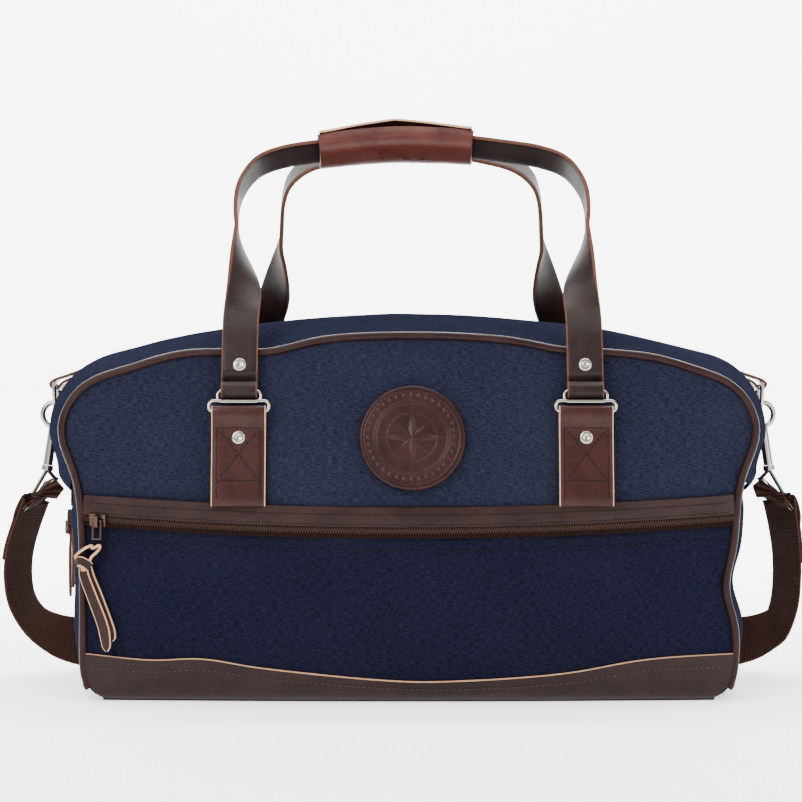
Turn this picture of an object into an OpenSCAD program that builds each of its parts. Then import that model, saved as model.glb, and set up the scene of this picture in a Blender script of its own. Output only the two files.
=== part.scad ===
// Weekender bag: canvas body with a leather base, round handles, front pocket and a clip-on strap.
// Millimetres. X runs along the bag, -Y is the front, Z is up, and the base rests on Z = 0.

/* [Body] */
// Length of the canvas faces at their widest
face_len = 494; // [484:2:504]
// Height of the canvas faces at their middle
face_h = 259; // [256:1:264]
// Depth between the two rows of piping
body_d = 230; // [226:1:234]
// How far the faces swell beyond the piping
swell = 32; // [28:1:34]
// How far the top and ends crown beyond the piping
crown = 18; // [16:1:20]
// Radius of the upper corners along the piping
corner_r = 42; // [38:1:46]
// Thickness of the canvas
canvas_t = 1.5; // [1:0.1:2]
// Thickness of the base leather
base_t = 2.4; // [2:0.1:3]
// Diameter of the piping
piping_d = 7; // [5:0.5:8]

/* [Front pocket] */
// Height of the pocket zip where it meets the side piping
zip_z = 130; // [126:1:134]
// How far the pocket zip drops at its middle
zip_drop = 7.5; // [5:0.5:9]
// Height of the leather facing above the zip
facing_h = 13.5; // [11:0.5:15]

/* [Handles] */
// Distance from the middle of the bag to each handle tab
tab_x = 122; // [118:1:126]
// Width of the leather tabs
tab_w = 38; // [34:1:38]
// Length of a tab below its loop
tab_len = 63; // [58:1:64]
// Width of the handle straps
strap_w = 26; // [24:1:26]
// Thickness of the handle straps
strap_t = 3.4; // [3:0.1:3.6]
// Height of the grip's middle
grip_z = 405; // [395:1:415]
// Length of the grip wrap
grip_len = 114; // [110:2:118]
// Wire diameter of the handle loops
loop_wire = 3.5; // [3:0.1:3.6]

/* [Shoulder strap] */
// Width of the webbing
web_w = 38; // [34:1:38]
// Thickness of the webbing
web_t = 2.4; // [2:0.1:2.6]
// Inner radius of each snap hook
hook_r = 7.6; // [7.4:0.1:7.8]
// Wire diameter of the D rings
d_wire = 3.5; // [3:0.1:3.6]

/* [Hidden] */

canvas_colour = [0.13, 0.15, 0.31];
brown = [0.24, 0.16, 0.15];
burgundy = [0.33, 0.16, 0.14];
webbing_brown = [0.25, 0.17, 0.14];
nickel = [0.78, 0.77, 0.74];
zip_brown = [0.22, 0.14, 0.12];

gap = 0.4;
half_len = face_len / 2;
half_d = body_d / 2;
piping_r = piping_d / 2;
corner_x = half_len - corner_r;
corner_z = 190;
// The dome arc touches each corner arc from inside
rise = face_h - corner_z;
dome_r = (pow(corner_x, 2) + pow(rise, 2) - pow(corner_r, 2)) / (2 * (rise - corner_r));
dome_a = asin(corner_x / (dome_r - corner_r));
// Angle from the vertical at which the main zip ends on each corner
zip_end_a = 135;
side_w = 231;
side_z = 148;
swell_z = 120;
foot_r = 22;
roll_h = 14;
roll_in = 11;
lip_end = 33;
lip_sag = 12;

// Outline of the faces
function clamp01(t) = max(0, min(1, t));
function corner_pt(a, off) = [corner_x + (corner_r + off) * sin(a), corner_z + (corner_r + off) * cos(a)];
function dome_pt(a, off) = [(dome_r + off) * sin(a), face_h - dome_r + (dome_r + off) * cos(a)];
zip_end = corner_pt(zip_end_a, 0);
function foot(z) = z < foot_r ? foot_r - sqrt(pow(foot_r, 2) - pow(foot_r - z, 2)) : 0;
function half_w(z) =
    z >= corner_z ? half_len :
    z >= zip_end[1] ? corner_x + sqrt(pow(corner_r, 2) - pow(z - corner_z, 2)) :
    side_w + (zip_end[0] - side_w) * pow(clamp01((z - side_z) / (zip_end[1] - side_z)), 2) - foot(z);
function top_z(x) =
    abs(x) <= dome_r * sin(dome_a) ?
    face_h - dome_r + sqrt(pow(dome_r, 2) - pow(x, 2)) :
    corner_z + sqrt(max(0, pow(corner_r, 2) - pow(abs(x) - corner_x, 2)));

// Swollen face: distance of the canvas from the middle plane, for u from -1 to 1 across the face
function swell_at(z, zt) =
    z > swell_z ? 1 - pow((z - swell_z) / (zt - swell_z), 2) : 1 - 0.7 * pow((swell_z - z) / swell_z, 2);
function roll(z) = z < roll_h ? roll_in * (1 - sqrt(1 - pow((roll_h - z) / roll_h, 2))) : 0;
function face_d(u, z) = half_d + swell * (1 - u * u) * swell_at(z, top_z(u * half_len)) - roll(z);
function spread(n) = [for (i = [0:n]) sin(-90 + 180 * i / n)];

// Solid skin over rings of points, each ring with the same even count of points
function joined(rings) = [for (r = rings) for (p = r) p];
function six_vol(pts, f) = [for (t = f) pts[t[0]] * cross(pts[t[1]], pts[t[2]])];
function total(v, i = 0, s = 0) = i >= len(v) ? s : total(v, i + 1, s + v[i]);
module skin(rings) {
    n = len(rings[0]);
    m = len(rings);
    pts = joined(rings);
    sides = [for (i = [0:m - 2]) for (j = [0:n - 1])
        let (a = i * n + j, b = i * n + (j + 1) % n, c = a + n, d = b + n)
        each [[a, b, d], [a, d, c]]];
    e = (m - 1) * n;
    caps = [for (j = [0:n / 2 - 2])
        let (a = j, b = j + 1, c = n - 2 - j, d = n - 1 - j)
        each [[a, d, c], [a, c, b], [e + a, e + c, e + d], [e + a, e + b, e + c]]];
    faces = concat(sides, caps);
    inward = total(six_vol(pts, faces)) < 0;
    polyhedron(pts, inward ? faces : [for (f = faces) [f[2], f[1], f[0]]]);
}

// Swollen sheet on the front (side -1) or the back (side 1), between two heights given for each u.
// Its rows run from the bottom up, inset from the outline to leave room for the piping.
inset = piping_r + gap;
function sheet_row(side, us, zs, out, t) = concat(
    [for (i = [0:len(us) - 1]) [us[i] * (half_w(zs[i]) - inset), side * (face_d(us[i], zs[i]) + out), zs[i]]],
    [for (i = [len(us) - 1:-1:0])
        [us[i] * (half_w(zs[i]) - inset), side * (face_d(us[i], zs[i]) + out - t), zs[i]]]);
module face_sheet(side, us, lows, highs, rows, out, t) {
    skin([for (k = [0:rows])
        sheet_row(side, us, [for (i = [0:len(us) - 1]) lows[i] + (highs[i] - lows[i]) * k / rows], out, t)]);
}
function lip_z(u) = lip_end - lip_sag * (1 - u * u);
function tops(us) = [for (u = us) top_z(u * half_len) - inset];

// Pocket zip: an arc in a plane that tilts forward and down
pocket_half = 226;
pocket_end_y = half_d + 2.5;
pocket_run = swell - 2;
pocket_sag = norm([pocket_run, zip_drop]);
pocket_tilt = atan2(zip_drop, pocket_run);
pocket_r = (pow(pocket_half, 2) + pow(pocket_sag, 2)) / (2 * pocket_sag);
pocket_a = asin(pocket_half / pocket_r);
pocket_reach = pocket_r * cos(pocket_a);
pocket_c = [0, -pocket_end_y + pocket_reach * cos(pocket_tilt), zip_z + pocket_reach * sin(pocket_tilt)];
// Lean of the facing away from the arc's axis, so that it lies on the canvas
facing_lean = pocket_tilt + 2;
function pocket_line_z(u) =
    let (x = u * pocket_half, s = sqrt(pow(pocket_r, 2) - x * x) - pocket_reach)
    zip_z - s * sin(pocket_tilt);
module on_pocket_arc() { translate(pocket_c) rotate([pocket_tilt, 0, 0]) children(); }
module pocket_sweep(a) { on_pocket_arc() rotate([0, 0, 270 - a]) rotate_extrude(angle = 2 * a, $fn = 240) children(); }

// Half of the crown's outline as [x, z, normal x, normal z], from the top to the zip's end
arc_step = 11;
corner_turn = zip_end_a - dome_a;
half_crown = concat(
    [for (a = [0:3:dome_a - 1]) concat(dome_pt(a, 0), [sin(a), cos(a)])],
    [for (k = [0:arc_step]) let (a = dome_a + corner_turn * k / arc_step) concat(corner_pt(a, 0), [sin(a), cos(a)])]);
function flip(p) = [-p[0], p[1], -p[2], p[3]];
crown_path = concat([for (i = [len(half_crown) - 1:-1:1]) flip(half_crown[i])], half_crown);
side_zs = [146, 130, 105, 80, 55, 38, 24, 16, 10];
half_sides = [for (z = side_zs) [half_w(z), z, 1, 0]];
piping_path = concat([for (i = [len(half_sides) - 1:-1:0]) flip(half_sides[i])], crown_path, half_sides);
function crown_off(y) = crown * (1 - pow(y / half_d, 2));
function crown_ring(p, prof) = [for (q = prof) [p[0] + p[2] * q[1], q[0], p[1] + p[3] * q[1]]];

// Smooth curve through a list of points
function curve_pt(p, i, t) =
    let (n = len(p) - 1, a = p[max(0, i - 1)], b = p[i], c = p[min(n, i + 1)], d = p[min(n, i + 2)])
    0.5 * (2 * b + (c - a) * t + (2 * a - 5 * b + 4 * c - d) * t * t + (3 * b - a - 3 * c + d) * t * t * t);
function curve(p, steps) = concat(
    [for (i = [0:len(p) - 2]) for (k = [0:steps - 1]) curve_pt(p, i, k / steps)], [p[len(p) - 1]]);
function unit(v) = v / norm(v);
function tangent(p, i) = unit(p[min(len(p) - 1, i + 1)] - p[max(0, i - 1)]);
// Flat band along a path, with a wanted width direction at each point
function band_ring(c, t, w, width, thick) =
    let (side = unit(w - (w * t) * t), face = cross(t, side))
    [for (q = [[-0.5, -0.35], [-0.46, -0.5], [0.46, -0.5], [0.5, -0.35], [0.5, 0.35], [0.46, 0.5], [-0.46, 0.5], [-0.5, 0.35]])
        c + side * q[0] * width + face * q[1] * thick];
module band(path, dirs, width, thick) {
    skin([for (i = [0:len(path) - 1]) band_ring(path[i], tangent(path, i), dirs[i], width, thick)]);
}

// Handles: each starts up along its loops, bows out past the piping and leans in to the grip
tab_lean = 8.8;
tab_back_y = 132;
loop_low_z = 205.7;
fold_t = 2.2;
bore_r = loop_wire / 2 + 0.2;
fold_r = bore_r + fold_t;
loop_low_y = tab_back_y + fold_r + 0.15;
// The handles sit a little to the right of the bag's middle
handle_shift = 2.5;
loop_lean = 17;
loop_rise = 15;
loop_mid = 6.7;
loop_up = [handle_shift, -loop_low_y + loop_rise * sin(loop_lean), loop_low_z + loop_rise * cos(loop_lean)];
grip_y = 15.2;
lean_v = unit([0, -grip_y - loop_up[1], grip_z - loop_up[2]]);
handle_lean = atan2(lean_v[1], lean_v[2]);
reach = norm([-grip_y - loop_up[1], grip_z - loop_up[2]]);
bow = handle_lean - loop_lean;
// Right half of each handle in its own plane, from the grip down, as [x, share of the reach, bow outwards]
front_half = [[0, 1, 0], [35, 0.993, 0], [66, 0.973, 0], [95, 0.947, 0], [115, 0.9, 0], [127, 0.8, 0.3],
    [129, 0.68, 1], [125, 0.55, 3], [121, 0.4, 6], [tab_x, 0.265, 8.6], [tab_x, 0.19, 9.4], [tab_x, 0.13, 7.9],
    [tab_x, 0.07, 4.2], [tab_x, 0.032, 1.9]];
back_half = [[0, 1, 0], [30, 0.993, 0], [54, 0.973, 0], [77, 0.94, 0], [92, 0.88, 0], [98, 0.8, 0.3],
    [100, 0.7, 1], [102, 0.55, 3], [107, 0.4, 6], [115, 0.265, 8.6], [118, 0.19, 9.4], [120, 0.13, 7.9],
    [tab_x, 0.07, 4.2], [tab_x, 0.032, 1.9]];
function handle_path(half) = curve([for (p = concat([for (i = [len(half) - 1:-1:1])
    [-half[i][0], half[i][1], half[i][2]]], half)) [p[0], -p[2], p[1] * reach]], 3);
front_path = handle_path(front_half);
back_path = handle_path(back_half);
twist_low = 0.3;
twist_high = 0.62;
function twist(z) = 90 * clamp01((z / reach - twist_low) / (twist_high - twist_low));
function handle_dirs(path) = [for (i = [0:len(path) - 1])
    let (t = tangent(path, i), a = twist(path[i][2]), across = cross(t, [0, 1, 0]))
    across * cos(a) + [0, -1, 0] * sin(a)];
fold_outer = bore_r + strap_t - 0.2;
return_len = 22;
strap_rivet_s = 19;
// Puts a shape from the handle's own plane in place; side -1 is the front handle
module on_handle(side) {
    if (side < 0) translate(loop_up) rotate([-handle_lean, 0, 0]) children();
    else mirror([0, 1, 0]) translate(loop_up) rotate([-handle_lean, 0, 0]) children();
}
module lean_at(side, x, a) {
    if (side < 0) translate([handle_shift + x, -loop_low_y, loop_low_z]) rotate([-a, 0, 0]) children();
    else mirror([0, 1, 0]) translate([handle_shift + x, -loop_low_y, loop_low_z]) rotate([-a, 0, 0]) children();
}
module on_tab(side, x) { lean_at(side, x, tab_lean) children(); }
module on_loop(side, x) { lean_at(side, x, loop_lean) translate([0, 0, loop_rise]) children(); }

// Shoulder strap hardware, drawn for the left end and mirrored for the right
ring_y = 60;
ring_x = -273;
ring_z = 226;
d_half = 13;
d_drop = 5;
hook_wire = 4.2;
hook_tilt = 8.5;
// The D ring's wire bears near the top of the hook's inner round
bearing = hook_r - d_wire / 2 - gap;
hook_c = [ring_x - bearing * sin(hook_tilt), ring_y, ring_z - d_drop - d_half - bearing * cos(hook_tilt)];
barrel_r = 3.7;
barrel_top = hook_r + 2;
barrel_len = 30;
eye_tilt = -38;
eye_turn = 56;
eye_wire = 3.2;
eye_h = 13;
eye_shift = -15;
module on_hook() { translate(hook_c) rotate([0, hook_tilt, 0]) children(); }
module on_eye() {
    on_hook() translate([0, 0, -barrel_top - barrel_len - 3.5]) rotate([0, eye_tilt, eye_turn]) children();
}
module both(left) { if (left) children(); else mirror([1, 0, 0]) children(); }

// Webbing route from the left eye to the middle behind the bag, then mirrored
route_half = [[-289, 57, 134], [-295, 58, 118], [-301, 59, 98], [-303, 61, 78], [-300, 63, 58], [-290, 67, 41],
    [-275, 75, 30], [-261, 87, 24], [-251, 104, 21], [-246, 124, 20], [-231, 148, 20], [-206, 166, 20],
    [-172, 176, 20], [-110, 179, 20], [-50, 180, 20]];
// Direction across the webbing at each of those points
across_half = [[0.53, 0.65, 0.54], [0.48, 0.8, 0.3], [0.44, 0.88, 0.1], [0.42, 0.9, 0.05], [0.4, 0.9, 0.15],
    [0.3, 0.85, 0.4], [0.15, 0.65, 0.7], [0, 0.4, 0.9], [0, 0.2, 1], [0, 0.1, 1], [0, 0, 1], [0, 0, 1],
    [0, 0, 1], [0, 0, 1], [0, 0, 1]];
function mirrored(half, middle, s) = concat(half, [middle], [for (i = [len(half) - 1:-1:0])
    [s * half[i][0], half[i][1], half[i][2]]]);
route_path = curve(mirrored(route_half, [0, 180, 20], -1), 2);
route_across = curve(mirrored(across_half, [0, 0, 1], -1), 2);

// Main zip slider, parked low on the left corner arc
slider_a = 131;
slider_off = crown + 0.6;
slider_at = [-corner_x - (corner_r + slider_off) * sin(slider_a), 0,
    corner_z + (corner_r + slider_off) * cos(slider_a)];
bail_wire = 1.8;
bail_len = 13;
bridge_h = 2.8;
bar_out = 2 + bridge_h / 2;
// Pocket slider, parked at the left end of its arc
pocket_park_a = 15.1;
pocket_lift = 2.1;
pocket_bail_at = pocket_c + (pocket_r + pocket_lift + bar_out) * [-sin(pocket_park_a),
    -cos(pocket_park_a) * cos(pocket_tilt), -cos(pocket_park_a) * sin(pocket_tilt)];

// ---- Body ----
module base() {
    us = spread(16);
    floor_z = 2;
    color(brown) {
        linear_extrude(base_t) polygon(concat(
            [for (u = us) [u * half_w(floor_z), -face_d(u, floor_z)]],
            [for (i = [len(us) - 1:-1:0]) [us[i] * half_w(floor_z), face_d(us[i], floor_z)]]));
        for (side = [-1, 1])
            face_sheet(side, us, [for (u = us) base_t + 0.1], [for (u = us) lip_z(u)], 5, base_t + 0.9, base_t);
    }
}
module pocket_wall() {
    us = spread(20);
    color(canvas_colour) translate([0, -half_d + 5, 0]) rotate([90, 0, 0]) linear_extrude(canvas_t) polygon(concat(
        [for (z = [5, 9, 14, 22]) [half_w(z) - inset - 1, z]],
        [for (z = [80, side_z, 160]) [half_w(z) - inset - 1, z]],
        [for (i = [len(us) - 1:-1:0]) [us[i] * (half_len - inset - 1), top_z(us[i] * half_len) - inset - 1]],
        [for (z = [160, side_z, 80]) [-half_w(z) + inset + 1, z]],
        [for (z = [22, 14, 9, 5]) [-half_w(z) + inset + 1, z]]));
}
module pocket_panel() {
    us = spread(18);
    color(canvas_colour)
        face_sheet(-1, us, [for (u = us) 5], [for (u = us) pocket_line_z(u) - 4], 7, 0, canvas_t);
}
module front_yoke() {
    us = spread(20);
    color(canvas_colour)
        face_sheet(-1, us, [for (u = us) pocket_line_z(u) + 6], tops(us), 8, -0.6, canvas_t);
}
module back_panel() {
    us = spread(20);
    color(canvas_colour) face_sheet(1, us, [for (u = us) 5], tops(us), 12, 0, canvas_t);
}
end_zs = [156, 146, 130, 105, 80, 55, 38, 22, 12, 4.5];
end_rows = [for (z = end_zs) let (a = 90 + (zip_end_a - 90) * clamp01((z - 130) / (zip_end[1] - 130)))
    [half_w(z), z, sin(a), cos(a)]];
module end_panel(left) {
    ys = [for (k = [-5:5]) k * (half_d - inset) / 5];
    top = concat(corner_pt(zip_end_a + 0.6, 0), [sin(zip_end_a), cos(zip_end_a)]);
    function sag(z) = 0.55 + 0.45 * clamp01(z / 45);
    color(canvas_colour) both(!left) skin([for (p = concat([top], end_rows))
        let (k = sag(p[1])) crown_ring(p, concat(
            [for (y = ys) [y, k * crown_off(y)]], [for (i = [10:-1:0]) [ys[i], k * crown_off(ys[i]) - canvas_t]]))]);
}
strip_ys = [for (k = [0:5]) 8 + (half_d - inset - 8) * k / 5];
module top_strip(side) {
    prof = concat([for (y = strip_ys) [side * y, crown_off(y)]],
        [for (i = [5:-1:0]) [side * strip_ys[i], crown_off(strip_ys[i]) - canvas_t]]);
    color(canvas_colour) skin([for (p = crown_path) crown_ring(p, prof)]);
}
module piping(side) {
    prof = [for (a = [0:60:300]) [side * half_d + piping_r * cos(a), piping_r * sin(a)]];
    color(brown) skin([for (p = piping_path) crown_ring(p, prof)]);
}
function facing_pt(a, out) = [pocket_r - a * sin(facing_lean) + out, a * cos(facing_lean)];
module pocket_facing() {
    color(brown) pocket_sweep(pocket_a - 0.25) {
        polygon([facing_pt(3, 0.2), facing_pt(3 + facing_h, 0.2), facing_pt(3 + facing_h, 1.8), facing_pt(3, 1.8)]);
    }
}
module pocket_zip() {
    color(zip_brown) pocket_sweep(pocket_a - 0.35) {
        polygon([facing_pt(-3.2, -1), facing_pt(5.5, -1), facing_pt(5.5, -0.1), facing_pt(2.4, -0.1),
            facing_pt(1.8, 1.1), facing_pt(-1.8, 1.1), facing_pt(-2.4, -0.1), facing_pt(-3.2, -0.1)]);
    }
}
module main_zip() {
    ys = [-7.4, -2.6, -2.4, 2.4, 2.6, 7.4];
    offs = [crown - 1.8, crown - 1.8, crown - 0.2, crown - 0.2, crown - 1.8, crown - 1.8];
    prof = concat([for (i = [0:5]) [ys[i], offs[i]]], [for (i = [5:-1:0]) [ys[i], crown - 2.8]]);
    color(zip_brown) skin([for (p = crown_path) crown_ring(p, prof)]);
}
patch_d = 75;
patch_t = 2.4;
patch_z = 187;
patch_lean = 12.3;
module patch() {
    color(burgundy) translate([2, -half_d - swell * 0.79 - 0.6, patch_z]) rotate([90 - patch_lean, 0, 0])
        cylinder(d = patch_d, h = patch_t, $fn = 96);
}

// ---- Handle tabs, loops and straps ----
module tab(side, x) {
    color(burgundy) on_tab(side, x) translate([-tab_w / 2, 0, 0]) rotate([90, 0, 90]) linear_extrude(tab_w) difference() {
        union() {
            circle(r = fold_r, $fn = 48);
            polygon([[-fold_r + 0.1, -0.6], [fold_r - 0.1, -0.6], [fold_r - 0.1, -tab_len], [-0.3, -tab_len],
                [-0.3, -14]]);
        }
        circle(r = bore_r, $fn = 48);
    }
}
tab_rivet_s = 20;
module tab_rivets() {
    color(nickel) for (side = [-1, 1]) for (x = [-tab_x, tab_x])
        on_tab(side, x) translate([0, -0.4, -tab_rivet_s]) rotate([90, 0, 0]) cylinder(d = 9.5, h = 1.8, $fn = 48);
}
loop_w = 42.4;
slot_w = 30.4;
module bar_x(w, z) { translate([-w / 2 - loop_wire / 2, 0, z]) rotate([0, 90, 0]) cylinder(d = loop_wire, h = w + loop_wire, $fn = 32); }
module loop(side, x) {
    color(nickel) on_loop(side, x) {
        bar_x(loop_w, -loop_rise);
        bar_x(loop_w, -loop_rise + loop_mid);
        bar_x(slot_w, 0);
        for (s = [-1, 1]) {
            translate([s * loop_w / 2, 0, -loop_rise]) cylinder(d = loop_wire - 0.1, h = loop_mid, $fn = 32);
            translate([s * slot_w / 2, 0, -loop_rise + loop_mid])
                cylinder(d = loop_wire - 0.1, h = loop_rise - loop_mid, $fn = 32);
        }
    }
}
module strap_end() {
    translate([-strap_w / 2, 0, 0]) rotate([90, 0, 90]) linear_extrude(strap_w) difference() {
        circle(r = fold_outer, $fn = 48);
        circle(r = bore_r, $fn = 48);
        translate([-strap_t / 2 - 0.1, 0]) square([2 * fold_outer, 2 * fold_outer]);
    }
    translate([-strap_w / 2, strap_t / 2 + 0.2, fold_outer + 0.2]) cube([strap_w, strap_t - 0.4, return_len]);
}
module strap(side) {
    path = side < 0 ? front_path : back_path;
    color(brown) {
        on_handle(side) band(path, handle_dirs(path), strap_w, strap_t);
        on_loop(side, -tab_x) strap_end();
        on_loop(side, tab_x) strap_end();
    }
}
module strap_rivets(side) {
    color(nickel) for (x = [-tab_x, tab_x])
        on_loop(side, x) translate([0, -strap_t / 2 - 0.3, strap_rivet_s]) rotate([90, 0, 0]) cylinder(d = 9.5, h = 1.8, $fn = 48);
}

// ---- Grip ----
// Middle of the wrap, left of the handle's own middle
grip_mid = -12;
grip_path = [for (p = front_path) if (abs(p[0] - grip_mid) <= grip_len / 2 + 1) p];
wrap_half = strap_w / 2 + 2.6;
wrap_top = 4;
wrap_low = 10;
wrap_t = 2;
function wrap_section(h, low, top) = [[-h, top], [-h, -0.4 * low], [-0.78 * h, -0.82 * low], [0, -low],
    [0.78 * h, -0.82 * low], [h, -0.4 * low], [h, top]];
wrap_prof = concat(wrap_section(wrap_half, wrap_low, wrap_top),
    [for (i = [6:-1:0]) wrap_section(wrap_half - wrap_t, wrap_low - wrap_t, wrap_top)[i]]);
// Section points are [towards the front, outward] about the strap's middle
function grip_ring(i, prof) = let (t = tangent(grip_path, i), o = cross([0, 1, 0], t), up = o[2] > 0 ? o : -o)
    [for (q = prof) grip_path[i] + [0, -q[0], 0] + up * q[1]];
module grip_wrap() {
    color(burgundy) on_handle(-1) skin([for (i = [0:len(grip_path) - 1]) grip_ring(i, wrap_prof)]);
}
flap_t = 2;
flap_low = wrap_top + 0.5;
function flap_front(x) = wrap_half + 1.5 - 5 * (1 - abs(x - grip_mid) / (grip_len / 2 + 1));
module grip_flap() {
    color(brown) on_handle(-1) skin([for (i = [1:len(grip_path) - 2]) grip_ring(i, [
        [-wrap_half + 0.5, flap_low], [flap_front(grip_path[i][0]), flap_low],
        [flap_front(grip_path[i][0]), flap_low + flap_t], [-wrap_half + 0.5, flap_low + flap_t]])]);
}
snap_x = 44.5;
snap_y = -6;
flap_top_s = reach + flap_low + flap_t;
module flap_snaps() {
    color(nickel) on_handle(-1) for (s = [-1, 1])
        translate([grip_mid + s * snap_x, snap_y, flap_top_s - (s < 0 ? 4.6 : 2) + 0.9])
            rotate([0, s < 0 ? -7 : 4, 0]) cylinder(d = 10, h = 2.2, $fn = 48);
}
module snap_studs() {
    color(nickel) on_handle(-1) for (s = [-1, 1])
        translate([grip_mid + s * snap_x, snap_y, reach - (s < 0 ? 3.4 : 0.9) + strap_t / 2])
            cylinder(d = 6, h = 1.4, $fn = 40);
}

// ---- Ends: tabs, D rings, snap hooks, webbing ----
end_tab_w = 20;
end_tab_t = 2.4;
end_bore = d_wire / 2 + 0.2;
end_root = [-226, 246];
end_top = [ring_x + 1, ring_z + end_bore + 1.1];
end_slab_t = 1.9;
module end_tab(left) {
    run = end_root - end_top;
    color(burgundy) both(left) translate([0, ring_y + end_tab_w / 2, 0]) rotate([90, 0, 0])
        linear_extrude(end_tab_w) difference() {
            union() {
                translate([ring_x, ring_z]) circle(r = end_bore + end_tab_t, $fn = 48);
                translate(end_top) rotate(atan2(run[1], run[0])) translate([0, -end_slab_t / 2])
                    square([norm(run), end_slab_t]);
            }
            translate([ring_x, ring_z]) circle(r = end_bore, $fn = 48);
        }
}
module d_ring(left) {
    color(nickel) both(left) translate([ring_x, ring_y, ring_z]) {
        translate([0, -d_half - d_wire / 2, 0]) rotate([-90, 0, 0]) cylinder(d = d_wire, h = 2 * d_half + d_wire, $fn = 32);
        for (s = [-1, 1])
            translate([0, s * d_half, -d_drop]) cylinder(d = d_wire - 0.1, h = d_drop, $fn = 32);
        translate([0, 0, -d_drop]) rotate([0, 90, 0]) rotate([0, 0, -90]) rotate_extrude(angle = 180, $fn = 64)
            translate([d_half, 0]) circle(d = d_wire, $fn = 32);
    }
}
hook_mid_r = hook_r + hook_wire / 2;
hook_tip_a = 70;
hook_arc = 210;
gate_c = [hook_mid_r - 2.2, 0, -hook_r - 1];
gate_len = 13.4;
gate_boss_r = 2.6;
pin_r = 0.8;
lug_t = 1.6;
module hook(left) {
    color(nickel) both(left) on_hook() {
        rotate([90, 0, 0]) rotate([0, 0, hook_tip_a]) rotate_extrude(angle = hook_arc, $fn = 64)
            translate([hook_mid_r, 0]) circle(d = hook_wire, $fn = 32);
        translate([0, 0, -barrel_top - barrel_len]) cylinder(r = barrel_r, h = barrel_len + 1.2, $fn = 48);
        difference() {
            for (s = [-1, 1]) translate([0, s * 2.9 - lug_t / 2, gate_c[2] - 2]) cube([gate_c[0] + 2, lug_t, 4]);
            translate(gate_c) rotate([90, 0, 0]) cylinder(r = pin_r + 0.05, h = 12, center = true, $fn = 32);
        }
    }
}
module gate(left) {
    color(nickel) both(left) on_hook() translate(gate_c) {
        rotate([90, 0, 0]) difference() {
            cylinder(r = gate_boss_r, h = 3.4, center = true, $fn = 32);
            cylinder(r = pin_r + 0.1, h = 8, center = true, $fn = 32);
        }
        translate([-1.4, -1.7, gate_boss_r - 0.4]) cube([2.6, 3.4, gate_len]);
        translate([gate_boss_r - 0.4, -1.7, -1.4]) cube([2.4, 3.4, 2.2]);
    }
}
module gate_pin(left) {
    color(nickel) both(left) on_hook() translate(gate_c) rotate([90, 0, 0])
        cylinder(r = pin_r, h = 8.4, center = true, $fn = 32);
}
module swivel_eye(left) {
    ends = [for (e = [-1, 1]) eye_shift + e * (web_w / 2 + 1)];
    color(nickel) both(left) {
        on_hook() translate([0, 0, -barrel_top - barrel_len - 4.3]) cylinder(r = 4.6, h = 4, $fn = 48);
        on_eye() {
            translate([ends[0] - eye_wire / 2, 0, -eye_h]) rotate([0, 90, 0])
                cylinder(d = eye_wire, h = ends[1] - ends[0] + eye_wire, $fn = 32);
            for (x = ends) translate([x, 0, -eye_h]) rotate([0, -atan2(x, eye_h), 0])
                cylinder(d = eye_wire - 0.1, h = norm([x, eye_h]), $fn = 32);
        }
    }
}
module shoulder_strap() {
    color(webbing_brown) band(route_path, route_across, web_w, web_t);
}

// ---- Zip sliders and their pulls ----
module slider_body(turn) {
    translate([-6, -4.5, 0]) cube([12, 9, 2]);
    rotate([0, 0, turn]) {
        for (y = [-4, 2.4]) translate([-1.5, y, 1.9]) cube([3, 1.6, bridge_h + 0.2]);
        translate([-1.5, -4, 2 + bridge_h]) cube([3, 8, 1.2]);
    }
}
module bail(w, len) {
    r = bail_wire / 2;
    translate([-w / 2 - r, 0, 0]) rotate([0, 90, 0]) cylinder(r = r, h = w + 2 * r, $fn = 24);
    translate([-w / 2 - r, 0, -len]) rotate([0, 90, 0]) cylinder(r = r, h = w + 2 * r, $fn = 24);
    for (s = [-1, 1]) translate([s * w / 2, 0, -len]) cylinder(r = r - 0.05, h = len, $fn = 24);
}
module thong(len, drift) {
    rotate([90, 0, 0]) translate([0, 0, -1.2]) linear_extrude(2.4) polygon([[-3, -1], [3, -1], [5, -16], [4 + drift, -len],
        [drift, -len - 5], [drift - 4, -len], [-5, -16]]);
    translate([0, 3.2, -9]) rotate([90, 0, 0]) cylinder(r = 6, h = 6.4, $fn = 40);
}
module on_main_slider() { translate(slider_at) rotate([0, -slider_a, 0]) children(); }
main_bail_at = slider_at + bar_out * [-sin(slider_a), 0, cos(slider_a)];
module main_slider() { color(nickel) on_main_slider() slider_body(90); }
module main_bail() { color(nickel) translate(main_bail_at) rotate([0, 0, 90]) bail(5, bail_len); }
module main_thong() {
    color(brown) translate(main_bail_at + [0, 0, -bail_len - 1.2]) rotate([0, 0, 90]) thong(66, 3);
}
module on_pocket_slider() {
    on_pocket_arc() rotate([0, 0, -pocket_park_a]) translate([0, -pocket_r - pocket_lift, 0]) children();
}
module pocket_slider() { color(nickel) on_pocket_slider() rotate([90, 0, 0]) slider_body(0); }
module pocket_bail() { color(nickel) translate(pocket_bail_at) rotate([0, 0, -pocket_park_a]) bail(5.6, bail_len); }
module pocket_thong() {
    color(brown) translate(pocket_bail_at + [0, 0, -bail_len - 1.2]) rotate([0, 0, -pocket_park_a]) thong(74, 12);
}

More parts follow.
